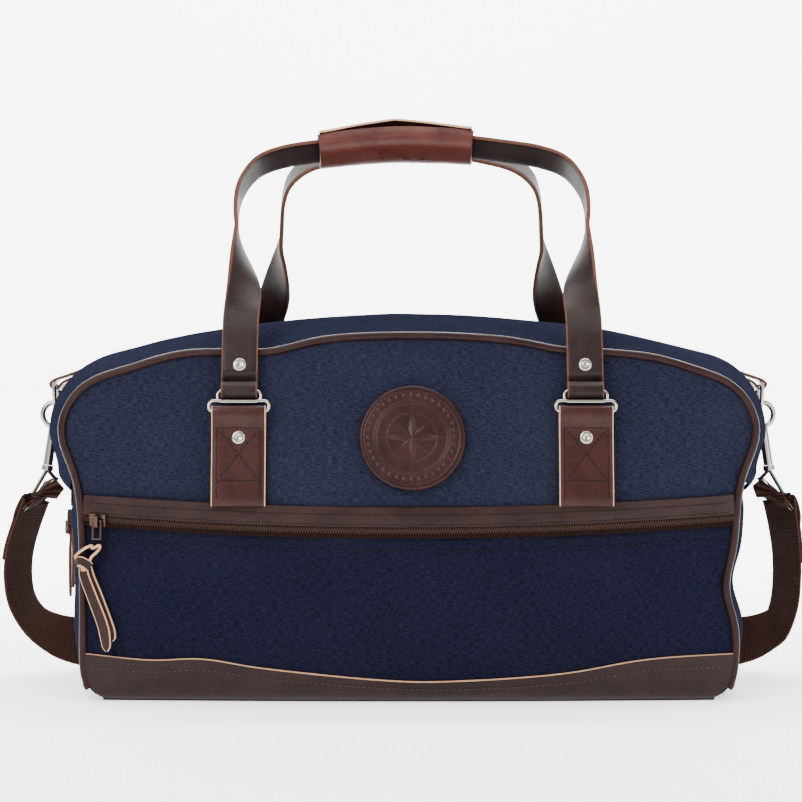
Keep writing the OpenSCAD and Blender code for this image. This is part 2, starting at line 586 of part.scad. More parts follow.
base();
pocket_wall();
pocket_panel();
front_yoke();
back_panel();
end_panel(true);  // end_panel_left
end_panel(false);  // end_panel_right
top_strip(-1);  // top_strip_front
top_strip(1);  // top_strip_back
piping(-1);  // piping_front
piping(1);  // piping_back
pocket_facing();
pocket_zip();
main_zip();
patch();
tab(-1, -tab_x);  // tab_front_left
tab(-1, tab_x);  // tab_front_right
tab(1, -tab_x);  // tab_back_left
tab(1, tab_x);  // tab_back_right
tab_rivets();
loop(-1, -tab_x);  // loop_front_left
loop(-1, tab_x);  // loop_front_right
loop(1, -tab_x);  // loop_back_left
loop(1, tab_x);  // loop_back_right
strap(-1);  // strap_front
strap(1);  // strap_back
strap_rivets(-1);  // strap_rivets_front
strap_rivets(1);  // strap_rivets_back
grip_wrap();
grip_flap();
flap_snaps();
snap_studs();
end_tab(true);  // end_tab_left
end_tab(false);  // end_tab_right
d_ring(true);  // d_ring_left
d_ring(false);  // d_ring_right
hook(true);  // hook_left
hook(false);  // hook_right
gate(true);  // gate_left
gate(false);  // gate_right
gate_pin(true);  // gate_pin_left
gate_pin(false);  // gate_pin_right
swivel_eye(true);  // swivel_eye_left
swivel_eye(false);  // swivel_eye_right
shoulder_strap();
main_slider();
main_bail();
main_thong();
pocket_slider();
pocket_bail();
pocket_thong();
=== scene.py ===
"""Looks of a canvas weekender bag with a leather base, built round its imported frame."""
import math
import bpy
import numpy as np
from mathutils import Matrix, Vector, noise


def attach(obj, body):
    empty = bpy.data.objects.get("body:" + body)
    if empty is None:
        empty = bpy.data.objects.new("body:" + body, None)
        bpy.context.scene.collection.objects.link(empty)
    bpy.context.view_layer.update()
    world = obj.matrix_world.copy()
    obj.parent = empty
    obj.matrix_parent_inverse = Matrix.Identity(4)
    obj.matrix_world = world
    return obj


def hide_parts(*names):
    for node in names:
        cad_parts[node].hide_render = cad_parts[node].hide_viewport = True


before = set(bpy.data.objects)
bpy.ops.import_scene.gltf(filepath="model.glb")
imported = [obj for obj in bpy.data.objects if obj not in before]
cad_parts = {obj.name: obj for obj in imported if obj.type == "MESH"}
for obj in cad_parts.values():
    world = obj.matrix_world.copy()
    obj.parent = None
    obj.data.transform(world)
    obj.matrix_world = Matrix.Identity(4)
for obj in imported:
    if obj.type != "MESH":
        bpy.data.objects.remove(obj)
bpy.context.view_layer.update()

# ---- Camera ----
cam_data = bpy.data.cameras.new("camera")
cam_data.lens = 119.1
cam_data.sensor_width = 36
cam = bpy.data.objects.new("camera", cam_data)
cam.location = (-0.0055, -2.0, 0.213)
cam.rotation_euler = (math.radians(90), 0, 0)
bpy.context.scene.collection.objects.link(cam)
bpy.context.scene.camera = cam


# ---- Shapes shared with the solids, in millimetres ----
HALF_LEN, HALF_D, SWELL, CROWN, CORNER_R = 247.0, 115.0, 32.0, 18.0, 42.0
FACE_H, CORNER_X, CORNER_Z, PIPE_R = 259.0, 205.0, 190.0, 3.5
RISE = FACE_H - CORNER_Z
DOME_R = (CORNER_X ** 2 + RISE ** 2 - CORNER_R ** 2) / (2 * (RISE - CORNER_R))
DOME_A = math.asin(CORNER_X / (DOME_R - CORNER_R))
ZIP_END_A = math.radians(135)
ZIP_END = (CORNER_X + CORNER_R * math.sin(ZIP_END_A), CORNER_Z + CORNER_R * math.cos(ZIP_END_A))
SIDE_W, SIDE_Z, SWELL_Z, FOOT_R, ROLL_H, ROLL_IN = 231.0, 148.0, 120.0, 22.0, 14.0, 11.0


def half_w(z):
    z = np.asarray(z, float)
    foot = np.where(z < FOOT_R, FOOT_R - np.sqrt(np.maximum(0, FOOT_R ** 2 - (FOOT_R - z) ** 2)), 0)
    low = SIDE_W + (ZIP_END[0] - SIDE_W) * np.clip((z - SIDE_Z) / (ZIP_END[1] - SIDE_Z), 0, 1) ** 2 - foot
    mid = CORNER_X + np.sqrt(np.maximum(0, CORNER_R ** 2 - (z - CORNER_Z) ** 2))
    return np.where(z >= CORNER_Z, HALF_LEN, np.where(z >= ZIP_END[1], mid, low))


def top_z(x):
    x = np.abs(np.asarray(x, float))
    dome = FACE_H - DOME_R + np.sqrt(DOME_R ** 2 - x ** 2)
    corner = CORNER_Z + np.sqrt(np.maximum(0, CORNER_R ** 2 - (x - CORNER_X) ** 2))
    return np.where(x <= DOME_R * math.sin(DOME_A), dome, corner)


def face_d(u, z):
    zt = top_z(u * HALF_LEN)
    g = np.where(z > SWELL_Z, 1 - ((z - SWELL_Z) / (zt - SWELL_Z)) ** 2,
                 1 - 0.7 * ((SWELL_Z - z) / SWELL_Z) ** 2)
    roll = np.where(z < ROLL_H, ROLL_IN * (1 - np.sqrt(np.maximum(0, 1 - ((ROLL_H - z) / ROLL_H) ** 2))), 0)
    return HALF_D + SWELL * (1 - u * u) * g - roll


def catmull(pts, steps):
    p = np.asarray(pts, float)
    n = len(p) - 1
    out = []
    for i in range(n):
        a, b, c, d = p[max(0, i - 1)], p[i], p[i + 1], p[min(n, i + 2)]
        for k in range(steps):
            t = k / steps
            out.append(0.5 * (2 * b + (c - a) * t + (2 * a - 5 * b + 4 * c - d) * t * t
                              + (3 * b - a - 3 * c + d) * t ** 3))
    out.append(p[-1])
    return np.array(out)


def lengths(p):
    return np.concatenate([[0], np.cumsum(np.linalg.norm(np.diff(p, axis=0), axis=1))])


def resample(p, step, *others):
    """Points at an even spacing along p, with the other arrays carried along."""
    s = lengths(p)
    n = max(2, int(round(s[-1] / step)) + 1)
    t = np.linspace(0, s[-1], n)
    return [np.stack([np.interp(t, s, a[:, k]) for k in range(a.shape[1])], 1) for a in (p, *others)]


def unit(v):
    return v / np.maximum(1e-9, np.linalg.norm(v, axis=-1, keepdims=True))


def tangents(p):
    t = np.gradient(p, axis=0)
    return unit(t)


# ---- Materials ----
class Shader:
    """A principled material whose nodes are added one call at a time."""

    def __init__(self, name, rough, metal=0.0, coat=0.0):
        self.mat = bpy.data.materials.new(name)
        self.mat.use_nodes = True
        self.tree = self.mat.node_tree
        self.bsdf = self.tree.nodes["Principled BSDF"]
        self.bsdf.inputs["Roughness"].default_value = rough
        self.bsdf.inputs["Metallic"].default_value = metal
        self.bsdf.inputs["Coat Weight"].default_value = coat
        self.bsdf.inputs["Coat Roughness"].default_value = 0.35
        self.uv = self.node("ShaderNodeTexCoord").outputs["UV"]

    def node(self, kind, **props):
        n = self.tree.nodes.new(kind)
        for k, v in props.items():
            setattr(n, k, v)
        return n

    def feed(self, socket, value):
        if isinstance(value, bpy.types.NodeSocket):
            self.tree.links.new(value, socket)
        else:
            socket.default_value = value

    def place(self, scale, turn=0.0):
        m = self.node("ShaderNodeMapping")
        self.feed(m.inputs["Vector"], self.uv)
        m.inputs["Scale"].default_value = scale
        m.inputs["Rotation"].default_value = (0, 0, turn)
        return m.outputs["Vector"]

    def noise(self, scale, detail=3.0, where=None, rough=0.55):
        n = self.node("ShaderNodeTexNoise")
        self.feed(n.inputs["Vector"], where if where is not None else self.uv)
        n.inputs["Scale"].default_value = scale
        n.inputs["Detail"].default_value = detail
        n.inputs["Roughness"].default_value = rough
        return n.outputs["Fac"]

    def cells(self, scale, feature="F1"):
        n = self.node("ShaderNodeTexVoronoi", feature=feature)
        self.feed(n.inputs["Vector"], self.uv)
        n.inputs["Scale"].default_value = scale
        return n.outputs["Distance"]

    def wave(self, per_metre, axis, bend=0.0):
        n = self.node("ShaderNodeTexWave", wave_type="BANDS", bands_direction=axis)
        self.feed(n.inputs["Vector"], self.uv)
        n.inputs["Scale"].default_value = per_metre * 0.31416
        n.inputs["Distortion"].default_value = bend
        n.inputs["Detail"].default_value = 1.0
        n.inputs["Detail Scale"].default_value = 0.6
        return n.outputs["Fac"]

    def maths(self, op, a, b=0.5):
        n = self.node("ShaderNodeMath", operation=op)
        self.feed(n.inputs[0], a)
        self.feed(n.inputs[1], b)
        return n.outputs[0]

    def span(self, value, low, high, to_low=0.0, to_high=1.0):
        n = self.node("ShaderNodeMapRange")
        self.feed(n.inputs["Value"], value)
        for k, v in zip(("From Min", "From Max", "To Min", "To Max"), (low, high, to_low, to_high)):
            n.inputs[k].default_value = v
        return n.outputs["Result"]

    def blend(self, fac, a, b):
        n = self.node("ShaderNodeMix", data_type="RGBA")
        self.feed(n.inputs["Factor"], fac)
        for s, v in ((n.inputs[6], a), (n.inputs[7], b)):
            self.feed(s, v if isinstance(v, bpy.types.NodeSocket) else (*v, 1))
        return n.outputs[2]

    def bump(self, height, strength, depth, under=None):
        n = self.node("ShaderNodeBump")
        n.inputs["Strength"].default_value = strength
        n.inputs["Distance"].default_value = depth
        self.feed(n.inputs["Height"], height)
        if under is not None:
            self.feed(n.inputs["Normal"], under)
        return n.outputs["Normal"]

    def colour(self, value):
        self.feed(self.bsdf.inputs["Base Color"], value
                  if isinstance(value, bpy.types.NodeSocket) else (*value, 1))
        return self

    def set(self, name, value):
        self.feed(self.bsdf.inputs[name], value)
        return self


def lin(r, g, b):
    return tuple(((c / 255 + 0.055) / 1.055) ** 2.4 if c > 10 else c / 255 / 12.92 for c in (r, g, b))


def canvas(name, dark, light):
    s = Shader(name, 0.9)
    s.bsdf.inputs["Specular IOR Level"].default_value = 0.0
    weft = s.noise(1.0, 2.0, s.place((260, 1500, 1)))
    warp = s.noise(1.0, 2.0, s.place((1500, 260, 1)))
    weave = s.maths("ADD", s.maths("MULTIPLY", weft, 0.62), s.maths("MULTIPLY", warp, 0.38))
    wax = s.noise(16, 4.0)
    base = s.blend(s.span(wax, 0.3, 0.72), dark, light)
    tone = s.blend(s.span(weave, 0.38, 0.62), tuple(c * 0.62 for c in dark),
                   tuple(min(1, c * 1.5) for c in light))
    s.colour(s.blend(0.72, base, tone))
    ribs = s.maths("ADD", s.wave(1150, "Y", 1.2), s.maths("MULTIPLY", s.wave(1150, "X", 1.2), 0.5))
    soft = s.bump(s.noise(26, 4.0), 0.45, 0.0012)
    s.set("Normal", s.bump(s.maths("ADD", ribs, weave), 0.42, 0.0003, soft))
    s.set("Roughness", s.span(wax, 0.3, 0.7, 0.64, 0.8))
    return s.mat


def leather(name, dark, light, rough=0.42, grain=620, coat=0.06, mottling=30):
    s = Shader(name, rough, coat=coat)
    s.bsdf.inputs["Specular IOR Level"].default_value = 0.11
    blotch = s.noise(mottling, 5.0, None, 0.62)
    pull = s.noise(1.0, 3.0, s.place((90, 420, 1)))
    mix = s.span(s.maths("ADD", s.maths("MULTIPLY", blotch, 0.7), s.maths("MULTIPLY", pull, 0.3)), 0.34, 0.68)
    s.colour(s.blend(mix, dark, light))
    pores = s.span(s.cells(grain), 0.0, 0.6)
    creases = s.bump(s.noise(70, 5.0), 0.35, 0.0012)
    s.set("Normal", s.bump(pores, 0.18, 0.00035, creases))
    s.set("Roughness", s.span(blotch, 0.3, 0.7, rough - 0.07, rough + 0.1))
    return s.mat


def plain(name, colour, rough, metal=0.0):
    s = Shader(name, rough, metal)
    s.bsdf.inputs["Specular IOR Level"].default_value = 0.15
    return s.colour(colour).mat


def raw_edge(name, colour):
    s = Shader(name, 0.85)
    s.bsdf.inputs["Specular IOR Level"].default_value = 0.1
    s.colour(s.blend(s.span(s.noise(240, 3.0), 0.3, 0.7), tuple(c * 0.72 for c in colour), colour))
    s.set("Normal", s.bump(s.noise(900, 2.0), 0.5, 0.0004))
    return s.mat


def nickel_finish(name, colour, rough):
    s = Shader(name, rough, 1.0)
    s.colour(colour)
    s.set("Roughness", s.span(s.noise(120, 2.0), 0.3, 0.7, rough * 0.8, rough * 1.35))
    return s.mat


def woven_band(name, dark, light):
    s = Shader(name, 0.8)
    s.bsdf.inputs["Specular IOR Level"].default_value = 0.04
    ribs = s.wave(620, "Y", 0.4)
    cord = s.wave(900, "X", 0.3)
    s.colour(s.blend(s.maths("MULTIPLY", ribs, s.span(cord, 0, 1, 0.55, 1.0)), dark, light))
    s.set("Normal", s.bump(s.maths("ADD", ribs, s.maths("MULTIPLY", cord, 0.5)), 0.7, 0.0006))
    return s.mat


M = {
    "canvas": canvas("canvas", (0.0052, 0.0058, 0.0122), (0.0130, 0.0142, 0.0262)),
    # Darker copy of the same canvas for the pocket panel: painted shade, as the lower front faces down away
    # from the top light.
    "canvas_lower": canvas("canvas_lower", (0.0030, 0.0032, 0.0078), (0.0074, 0.0076, 0.0166)),
    "base_leather": leather("base_leather", (0.0060, 0.0020, 0.0020), (0.0190, 0.0074, 0.0070), 0.46,
                            mottling=22),
    "piping_leather": leather("piping_leather", (0.0080, 0.0028, 0.0026), (0.0215, 0.0085, 0.0075), 0.36,
                              coat=0.0),
    "dark_leather": leather("dark_leather", (0.0075, 0.0026, 0.0024), (0.0215, 0.0080, 0.0070), 0.36),
    "strap_leather": leather("strap_leather", (0.0058, 0.0024, 0.0021), (0.0155, 0.0072, 0.0062), 0.46,
                             mottling=40),
    "red_leather": leather("red_leather", (0.0125, 0.0028, 0.0022), (0.0330, 0.0085, 0.0066), 0.32,
                           coat=0.12),
    "grip_leather": leather("grip_leather", (0.0320, 0.0070, 0.0056), (0.0760, 0.0210, 0.0160), 0.3,
                            coat=0.2),
    "patch_leather": leather("patch_leather", (0.0095, 0.0020, 0.0018), (0.0225, 0.0058, 0.0050), 0.36,
                             coat=0.08),
    "edge": raw_edge("raw_edge", lin(188, 146, 114)),
    "edge_dim": raw_edge("raw_edge_dim", lin(84, 55, 44)),
    "nickel": nickel_finish("nickel", lin(158, 153, 146), 0.2),
    "dark_metal": nickel_finish("dark_metal", lin(64, 48, 41), 0.3),
    "thread_dark": plain("thread_dark", (0.0016, 0.0017, 0.0036), 0.75),
    "thread_brown": plain("thread_brown", (0.0040, 0.0020, 0.0018), 0.6),
    "thread_pale": plain("thread_pale", (0.040, 0.0230, 0.0190), 0.6),
    "webbing": woven_band("webbing", (0.0150, 0.0062, 0.0046), (0.080, 0.0370, 0.0270)),
    "zip_tape": woven_band("zip_tape", (0.0050, 0.0022, 0.0018), (0.0160, 0.0072, 0.0056)),
    "zip_coil": plain("zip_coil", (0.026, 0.0110, 0.0075), 0.35),
}


# ---- Mesh helpers ----
def put(name, verts, faces, mats, body, nodes=(), uv=None, index=None, smooth=True):
    """Makes a mesh from millimetres, gives it its finish, and fastens it to its body."""
    me = bpy.data.meshes.new(name)
    me.from_pydata((np.asarray(verts, float) / 1000).tolist(), [], [list(map(int, f)) for f in faces])
    if uv is not None:
        layer = me.uv_layers.new(name="UVMap")
        loops = np.empty(len(me.loops), np.int32)
        me.loops.foreach_get("vertex_index", loops)
        layer.data.foreach_set("uv", (np.asarray(uv, float)[loops] / 1000).astype(np.float32).ravel())
    for m in mats:
        me.materials.append(M[m])
    if index is not None:
        me.polygons.foreach_set("material_index", np.asarray(index, np.int32))
    me.polygons.foreach_set("use_smooth", np.full(len(me.polygons), smooth))
    me.update()
    ob = bpy.data.objects.new(name, me)
    bpy.context.scene.collection.objects.link(ob)
    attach(ob, body)
    if nodes:
        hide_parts(*nodes)
    return ob


def grid_faces(m, n, wrap=False, start=0):
    out = []
    for i in range(m - 1):
        for j in range(n if wrap else n - 1):
            k = (j + 1) % n
            out.append((start + i * n + j, start + i * n + k, start + (i + 1) * n + k, start + (i + 1) * n
                        + j))
    return out


def grid_normals(g):
    return unit(np.cross(np.gradient(g, axis=1), np.gradient(g, axis=0)))


def sheet(name, g, thick, mats, body, nodes=(), uv=None, flip=False):
    """A panel of some thickness whose outer face is the grid g; its rim takes the second material."""
    m, n = g.shape[:2]
    nor = grid_normals(g) * (-1 if flip else 1)
    inner = g - nor * thick
    ring = [(0, j) for j in range(n)] + [(i, n - 1) for i in range(1, m)]
    ring += [(m - 1, j) for j in range(n - 2, -1, -1)] + [(i, 0) for i in range(m - 2, 0, -1)]
    if uv is None:
        uv = g[:, :, [0, 2]]
    rim_out = np.array([g[a] for a in ring])
    rim_in = np.array([inner[a] for a in ring])
    mid = (rim_out + rim_in) / 2
    away = np.array([g[a] - g[min(m - 2, max(1, a[0])), min(n - 2, max(1, a[1]))] for a in ring])
    mid = mid + unit(away) * thick * 0.3
    verts = np.concatenate([g.reshape(-1, 3), inner.reshape(-1, 3), rim_out, mid, rim_in])
    faces = grid_faces(m, n) + [f[::-1] for f in grid_faces(m, n, start=m * n)]
    k, base = len(ring), 2 * m * n
    edge = []
    for r in range(2):
        for i in range(k):
            j = (i + 1) % k
            edge.append((base + r * k + i, base + (r + 1) * k + i, base + (r + 1) * k + j, base + r * k + j))
    uvs = np.concatenate([uv.reshape(-1, 2)] * 2 + [np.array([uv[a] for a in ring])] * 3)
    last = len(mats) - 1
    index = [0] * len(faces) + [last] * len(edge)
    faces += edge
    if flip:
        faces = [f[::-1] for f in faces]
    return put(name, verts, faces, mats, body, nodes, uvs, index)


def band(name, path, across, width, thick, mats, body, nodes=(), steps=7):
    """A flat strap with rounded edges along a path; the two long edges take the second material."""
    t = tangents(path)
    side = unit(across - np.sum(across * t, 1, keepdims=True) * t)
    face = np.cross(t, side)
    width = np.broadcast_to(width, (len(path),))
    r = thick * 0.32
    shape = [(a, 0.5, True) for a in np.linspace(-1, 1, steps)] + [(1.0, 0.36, False), (1.0, -0.36, False)]
    shape += [(a, -0.5, True) for a in np.linspace(1, -1, steps)] + [(-1.0, -0.36, False),
                                                                     (-1.0, 0.36, False)]
    n = len(shape)
    s = lengths(path)
    verts, uvs = [], []
    for i in range(len(path)):
        for a, b, flat in shape:
            reach = width[i] / 2 - (r if flat else 0)
            verts.append(path[i] + side[i] * a * reach + face[i] * b * thick)
            uvs.append((a * width[i] / 2 + (0 if b > 0 else 1.3), s[i]))
    faces = grid_faces(len(path), n, wrap=True)
    index = []
    for i in range(len(path) - 1):
        for j in range(n):
            index.append(0 if j < steps - 1 or steps + 1 < j < 2 * steps + 1 else len(mats) - 1)
    ends = [list(range(n))[::-1], list(range((len(path) - 1) * n, len(path) * n))]
    faces += ends
    index += [len(mats) - 1] * 2
    faces = [tuple(f)[::-1] for f in faces]
    return put(name, verts, faces, mats, body, nodes, uvs, index)


def tube(name, path, out, radius, mats, body, nodes=(), sides=14):
    """A round cord along a path."""
    t = tangents(path)
    a = unit(out - np.sum(out * t, 1, keepdims=True) * t)
    b = np.cross(t, a)
    radius = np.broadcast_to(radius, (len(path),))
    s = lengths(path)
    verts, uvs = [], []
    for i in range(len(path)):
        for k in range(sides):
            w = 2 * math.pi * k / sides
            verts.append(path[i] + radius[i] * (a[i] * math.cos(w) + b[i] * math.sin(w)))
            uvs.append((radius[i] * w, s[i]))
    faces = grid_faces(len(path), sides, wrap=True)
    faces += [tuple(range(sides))[::-1], tuple(range((len(path) - 1) * sides, len(path) * sides))]
    return put(name, verts, faces, mats, body, nodes, uvs)


def stitches(name, runs, body, thread="thread_dark", pitch=3.4, length=2.5, radius=0.42, rise=0.1):
    """Rows of sewn stitches. Each run is (points on the surface, outward normals)."""
    verts, faces = [], []
    for path, nor in runs:
        path, nor = np.asarray(path, float), np.broadcast_to(nor, np.shape(path)).astype(float)
        total = lengths(path)[-1]
        count = max(1, int(round(total / pitch)))
        s = lengths(path)
        for i in range(count):
            a = (i + 0.5) * total / count
            at = np.array([np.interp(a, s, path[:, k]) for k in range(3)])
            up = unit(np.array([np.interp(a, s, nor[:, k]) for k in range(3)]))
            end = np.array([np.interp(min(total, a + 0.6), s, path[:, k]) for k in range(3)])
            start = np.array([np.interp(max(0, a - 0.6), s, path[:, k]) for k in range(3)])
            t = unit(end - start)
            across = np.cross(up, t)
            base = len(verts)
            for along, r, h in ((-0.5, 0.35, -0.5), (-0.32, 0.95, 0.0), (0.32, 0.95, 0.0), (0.5, 0.35, -0.5)):
                for k in range(6):
                    w = 2 * math.pi * k / 6
                    verts.append(at + t * along * length + across * math.cos(w) * radius * r
                                 + up * (math.sin(w) * radius * r + rise + h * radius))
            faces += grid_faces(4, 6, wrap=True, start=base)
            faces += [tuple(base + k for k in range(5, -1, -1)), tuple(base + 18 + k for k in range(6))]
    return put(name, verts, faces, [thread], body)


def ball_row(name, at, t, up, size, mats, body):
    """Small rounded beads, size along t, across and up, as zip teeth."""
    verts, faces = [], []
    rings = [(-1, 0.25), (-0.8, 0.75), (0, 1), (0.8, 0.75), (1, 0.25)]
    for p, a, u in zip(at, t, up):
        c = np.cross(u, a)
        base = len(verts)
        for x, r in rings:
            for k in range(6):
                w = 2 * math.pi * k / 6
                verts.append(p + c * x * size[1] + a * math.cos(w) * size[0] * r
                             + u * math.sin(w) * size[2] * r)
        faces += grid_faces(5, 6, wrap=True, start=base)
        faces += [tuple(base + k for k in range(5, -1, -1)), tuple(base + 24 + k for k in range(6))]
    return put(name, verts, faces, mats, body)


def ripple(points, size, seed):
    """Smooth noise from -1 to 1 at each point."""
    flat = points.reshape(-1, 3)
    vals = [noise.noise(Vector(p / size) + Vector((seed * 7.3, seed * 3.1, 0))) for p in flat]
    return np.array(vals).reshape(points.shape[:-1])


SOFT_SIDE = catmull([(60, 231), (100, 231.1), (125, 231.8), (140, 232.8), (150, 234), (160, 236.4),
                     (168, 239.4), (176, 242.8), (184, 245.8), (190, 247), (215, 247)], 8)


def settle(p):
    """Small sags of the soft body: dips under the handles, and a pinch low on the right end."""
    p = np.array(p, float)
    x, y, z = p[..., 0], p[..., 1], p[..., 2]
    dip = 0
    for at, wide, deep in ((-101, 28, -5.2), (-168, 26, 3.0), (108, 24, -3.0), (178, 26, 3.2)):
        dip = dip + deep * np.exp(-((x - at) / wide) ** 2)
    front = np.clip((-y - 40) / 60, 0, 1)
    p[..., 2] = z + dip * np.clip((z - 120) / 125, 0, 1.1) ** 2 * front * front * (3 - 2 * front)
    out = np.clip((np.abs(x) - 150) / 80, 0, 1)
    x = x + np.sign(x) * out * np.where((z > 60) & (z < 190), np.interp(z, SOFT_SIDE[:, 0],
                                                                        SOFT_SIDE[:, 1]) - half_w(z), 0)
    p[..., 0] = x - (7 * np.exp(-((z - 81) / 20) ** 2)
                     - 1.5 * np.exp(-((z - 48) / 18) ** 2)) * np.clip((x - 150) / 80, 0, 1) ** 2
    return p


# ---- Canvas faces ----
INSET = 1.6
PKT_C, PKT_TILT, PKT_R, PKT_A = np.array([0, 668.692,
                                          326.548]), math.radians(14.0362), 841.312, math.radians(15.58)
PKT_HALF, FACING_LEAN = 226.0, math.radians(16.036)


def pocket_pt(phi, a, out):
    """Point on the pocket's band: phi round its arc, a up the band, out from the canvas."""
    r = PKT_R - a * math.sin(FACING_LEAN) + out
    h = a * math.cos(FACING_LEAN)
    x, y = r * np.sin(phi), -r * np.cos(phi)
    c, s = math.cos(PKT_TILT), math.sin(PKT_TILT)
    return np.stack([x, y * c - h * s, y * s + h * c], -1) + PKT_C


def pocket_line(u):
    reach = PKT_R * math.cos(PKT_A)
    return 130 - (np.sqrt(PKT_R ** 2 - (u * PKT_HALF) ** 2) - reach) * math.sin(PKT_TILT)


def face_grid(side, low, high, nu, nv, out, seed, amp=1.0, inset=INSET):
    """Grid over a face between two heights, softly rumpled away from its seams."""
    u = np.sin(np.linspace(-math.pi / 2, math.pi / 2, nu))
    k = np.linspace(0, 1, nv)[:, None]
    z = low(u)[None, :] * (1 - k) + high(u)[None, :] * k
    uu = np.broadcast_to(u, z.shape)
    g = np.stack([uu * (half_w(z) - inset), side * (face_d(uu, z) + out), z], -1)
    edge = np.minimum((1 - np.abs(uu)) * HALF_LEN, np.minimum(z - 14, top_z(uu * HALF_LEN) - z))
    calm = np.clip(edge / 30, 0, 1)
    wave = ripple(g, 78, seed) * 2.2 + ripple(g * np.array([1, 1, 1.6]), 34, seed + 4) * 0.8
    pucker = ripple(g, 11, seed + 9) * 0.5 * np.exp(-np.maximum(edge, 0) / 12)
    g[:, :, 1] += side * amp * (wave * calm + pucker - 0.4)
    return settle(g)


def panel_top(u):
    return top_z(u * HALF_LEN) - INSET


yoke = face_grid(-1, lambda u: pocket_line(u) + 5, panel_top, 150, 70, -0.4, 1, 0.8)
sheet("front_yoke", yoke, 1.4, ["canvas"], "bag", ["front_yoke"])
POCKET_EDGE = 4.2
pocket = face_grid(-1, lambda u: 0 * u + 5, lambda u: pocket_line(u) - POCKET_EDGE, 150, 60, 0.2, 2, 1.0)
# The pocket panel takes the darker canvas copy, which is painted shade on the downward-facing lower front.
sheet("pocket_panel", pocket, 1.6, ["canvas_lower", "canvas_lower"], "bag", ["pocket_panel"])
back = face_grid(1, lambda u: 0 * u + 5, panel_top, 130, 80, 0, 3, 1.0)
sheet("back_panel", back, 1.4, ["canvas"], "bag", ["back_panel"], flip=True)


# ---- Crown: top strips, ends, zip, piping ----
def crown_off(y):
    return CROWN * (1 - (np.asarray(y) / HALF_D) ** 2)


def outline(step, low=None):
    """Points [x, z] and outward normals round the bag's outline, from the left end to the right."""
    pts = []
    for a in np.linspace(0, DOME_A, 40)[:-1]:
        pts.append((DOME_R * math.sin(a), FACE_H - DOME_R + DOME_R * math.cos(a), math.sin(a), math.cos(a)))
    for a in np.linspace(DOME_A, ZIP_END_A, 44):
        pts.append((CORNER_X + CORNER_R * math.sin(a), CORNER_Z + CORNER_R * math.cos(a), math.sin(a),
                    math.cos(a)))
    if low is not None:
        for z in np.linspace(ZIP_END[1], low, 50)[1:]:
            pts.append((float(half_w(z)), z, 1.0, 0.0))
    p = np.array(pts)
    if low is not None:
        d = np.gradient(p[:, :2], axis=0)
        n = unit(np.stack([-d[:, 1], d[:, 0]], 1))
        m = p[:, 1] < ZIP_END[1] + 2
        p[m, 2:] = n[m]
    left = p[1:][::-1] * np.array([-1, 1, -1, 1])
    return np.concatenate([left, p])


def crown_pt(o, y, off):
    """Point over the outline row o at depth y and height off above it."""
    return np.stack([o[:, 0] + o[:, 2] * off, np.full(len(o), y) if np.ndim(y) == 0 else y,
                     o[:, 1] + o[:, 3] * off], -1)


ring = outline(6)
ring_s = lengths(ring[:, :2])


def crown_grid(y0, y1, ny, seed, rise=0.0):
    ys = np.linspace(y0, y1, ny)
    g = np.stack([crown_pt(ring, y, crown_off(y) + rise) for y in ys], 0)
    nor = np.stack([ring[:, 2], 0 * ring[:, 2], ring[:, 3]], -1)[None]
    calm = np.clip((HALF_D - np.abs(ys)) / 25, 0, 1) * np.clip((np.abs(ys) - 8) / 20, 0, 1)
    return g + nor * (ripple(g, 60, seed) * 1.8 * calm[:, None])[..., None], ys


for side, name in ((-1, "front"), (1, "back")):
    g, ys = crown_grid(side * 7.2, side * 113.4, 34, 11 + side)
    uv = np.stack([np.broadcast_to(ring_s, g.shape[:2]), np.broadcast_to(ys[:, None], g.shape[:2])], -1)
    sheet("top_strip_" + name, settle(g), 1.4, ["canvas"], "bag", ["top_strip_" + name], uv,
          flip=side > 0)
    folds = []
    for y in (9.6, 14.4):
        o = crown_pt(ring, side * y, float(crown_off(y)) + 0.1)
        folds.append((settle(o), np.stack([ring[:, 2], 0 * ring[:, 2], ring[:, 3]], -1)))
    for y in (HALF_D - 7.5,):
        o = crown_pt(ring, side * y, float(crown_off(y)) + 0.1)
        folds.append((settle(o), np.stack([ring[:, 2], 0 * ring[:, 2], ring[:, 3]], -1)))
    stitches("top_stitches_" + name, folds, "bag")

end_rows = []
for z in np.linspace(156.5, 4.5, 60):
    a = math.radians(90) + math.radians(45) * np.clip((z - 130) / (ZIP_END[1] - 130), 0, 1)
    end_rows.append((float(half_w(z)), z, math.sin(a), math.cos(a)))
end_rows = np.array(end_rows)
for sx, name in ((-1, "left"), (1, "right")):
    ys = np.linspace(-113, 113, 60)
    sag = 0.55 + 0.45 * np.clip(end_rows[:, 1] / 45, 0, 1)
    g = np.stack([crown_pt(end_rows, y, sag * crown_off(y)) for y in ys], 0)
    calm = np.clip((HALF_D - np.abs(ys)) / 25, 0, 1)[:, None] * np.clip((end_rows[:, 1] - 14) / 30, 0,
                                                                        1)[None]
    g[:, :, 0] += ripple(g, 60, 21 + sx) * 2.0 * calm
    uv = g[:, :, [1, 2]].copy()
    g[:, :, 0] *= sx
    g = settle(g)
    sheet("end_panel_" + name, g, 1.4, ["canvas"], "bag", ["end_panel_" + name], uv, flip=sx < 0)
    seam = crown_pt(end_rows[2:3].repeat(len(ys), 0), ys, 0 * ys)
    seam[:, 0] += crown_off(ys) * end_rows[2, 2]
    seam[:, 2] += crown_off(ys) * end_rows[2, 3]
    seam[:, 0] *= sx
    stitches("end_stitches_" + name, [(seam, (sx * 1.0, 0, -0.7))], "bag")

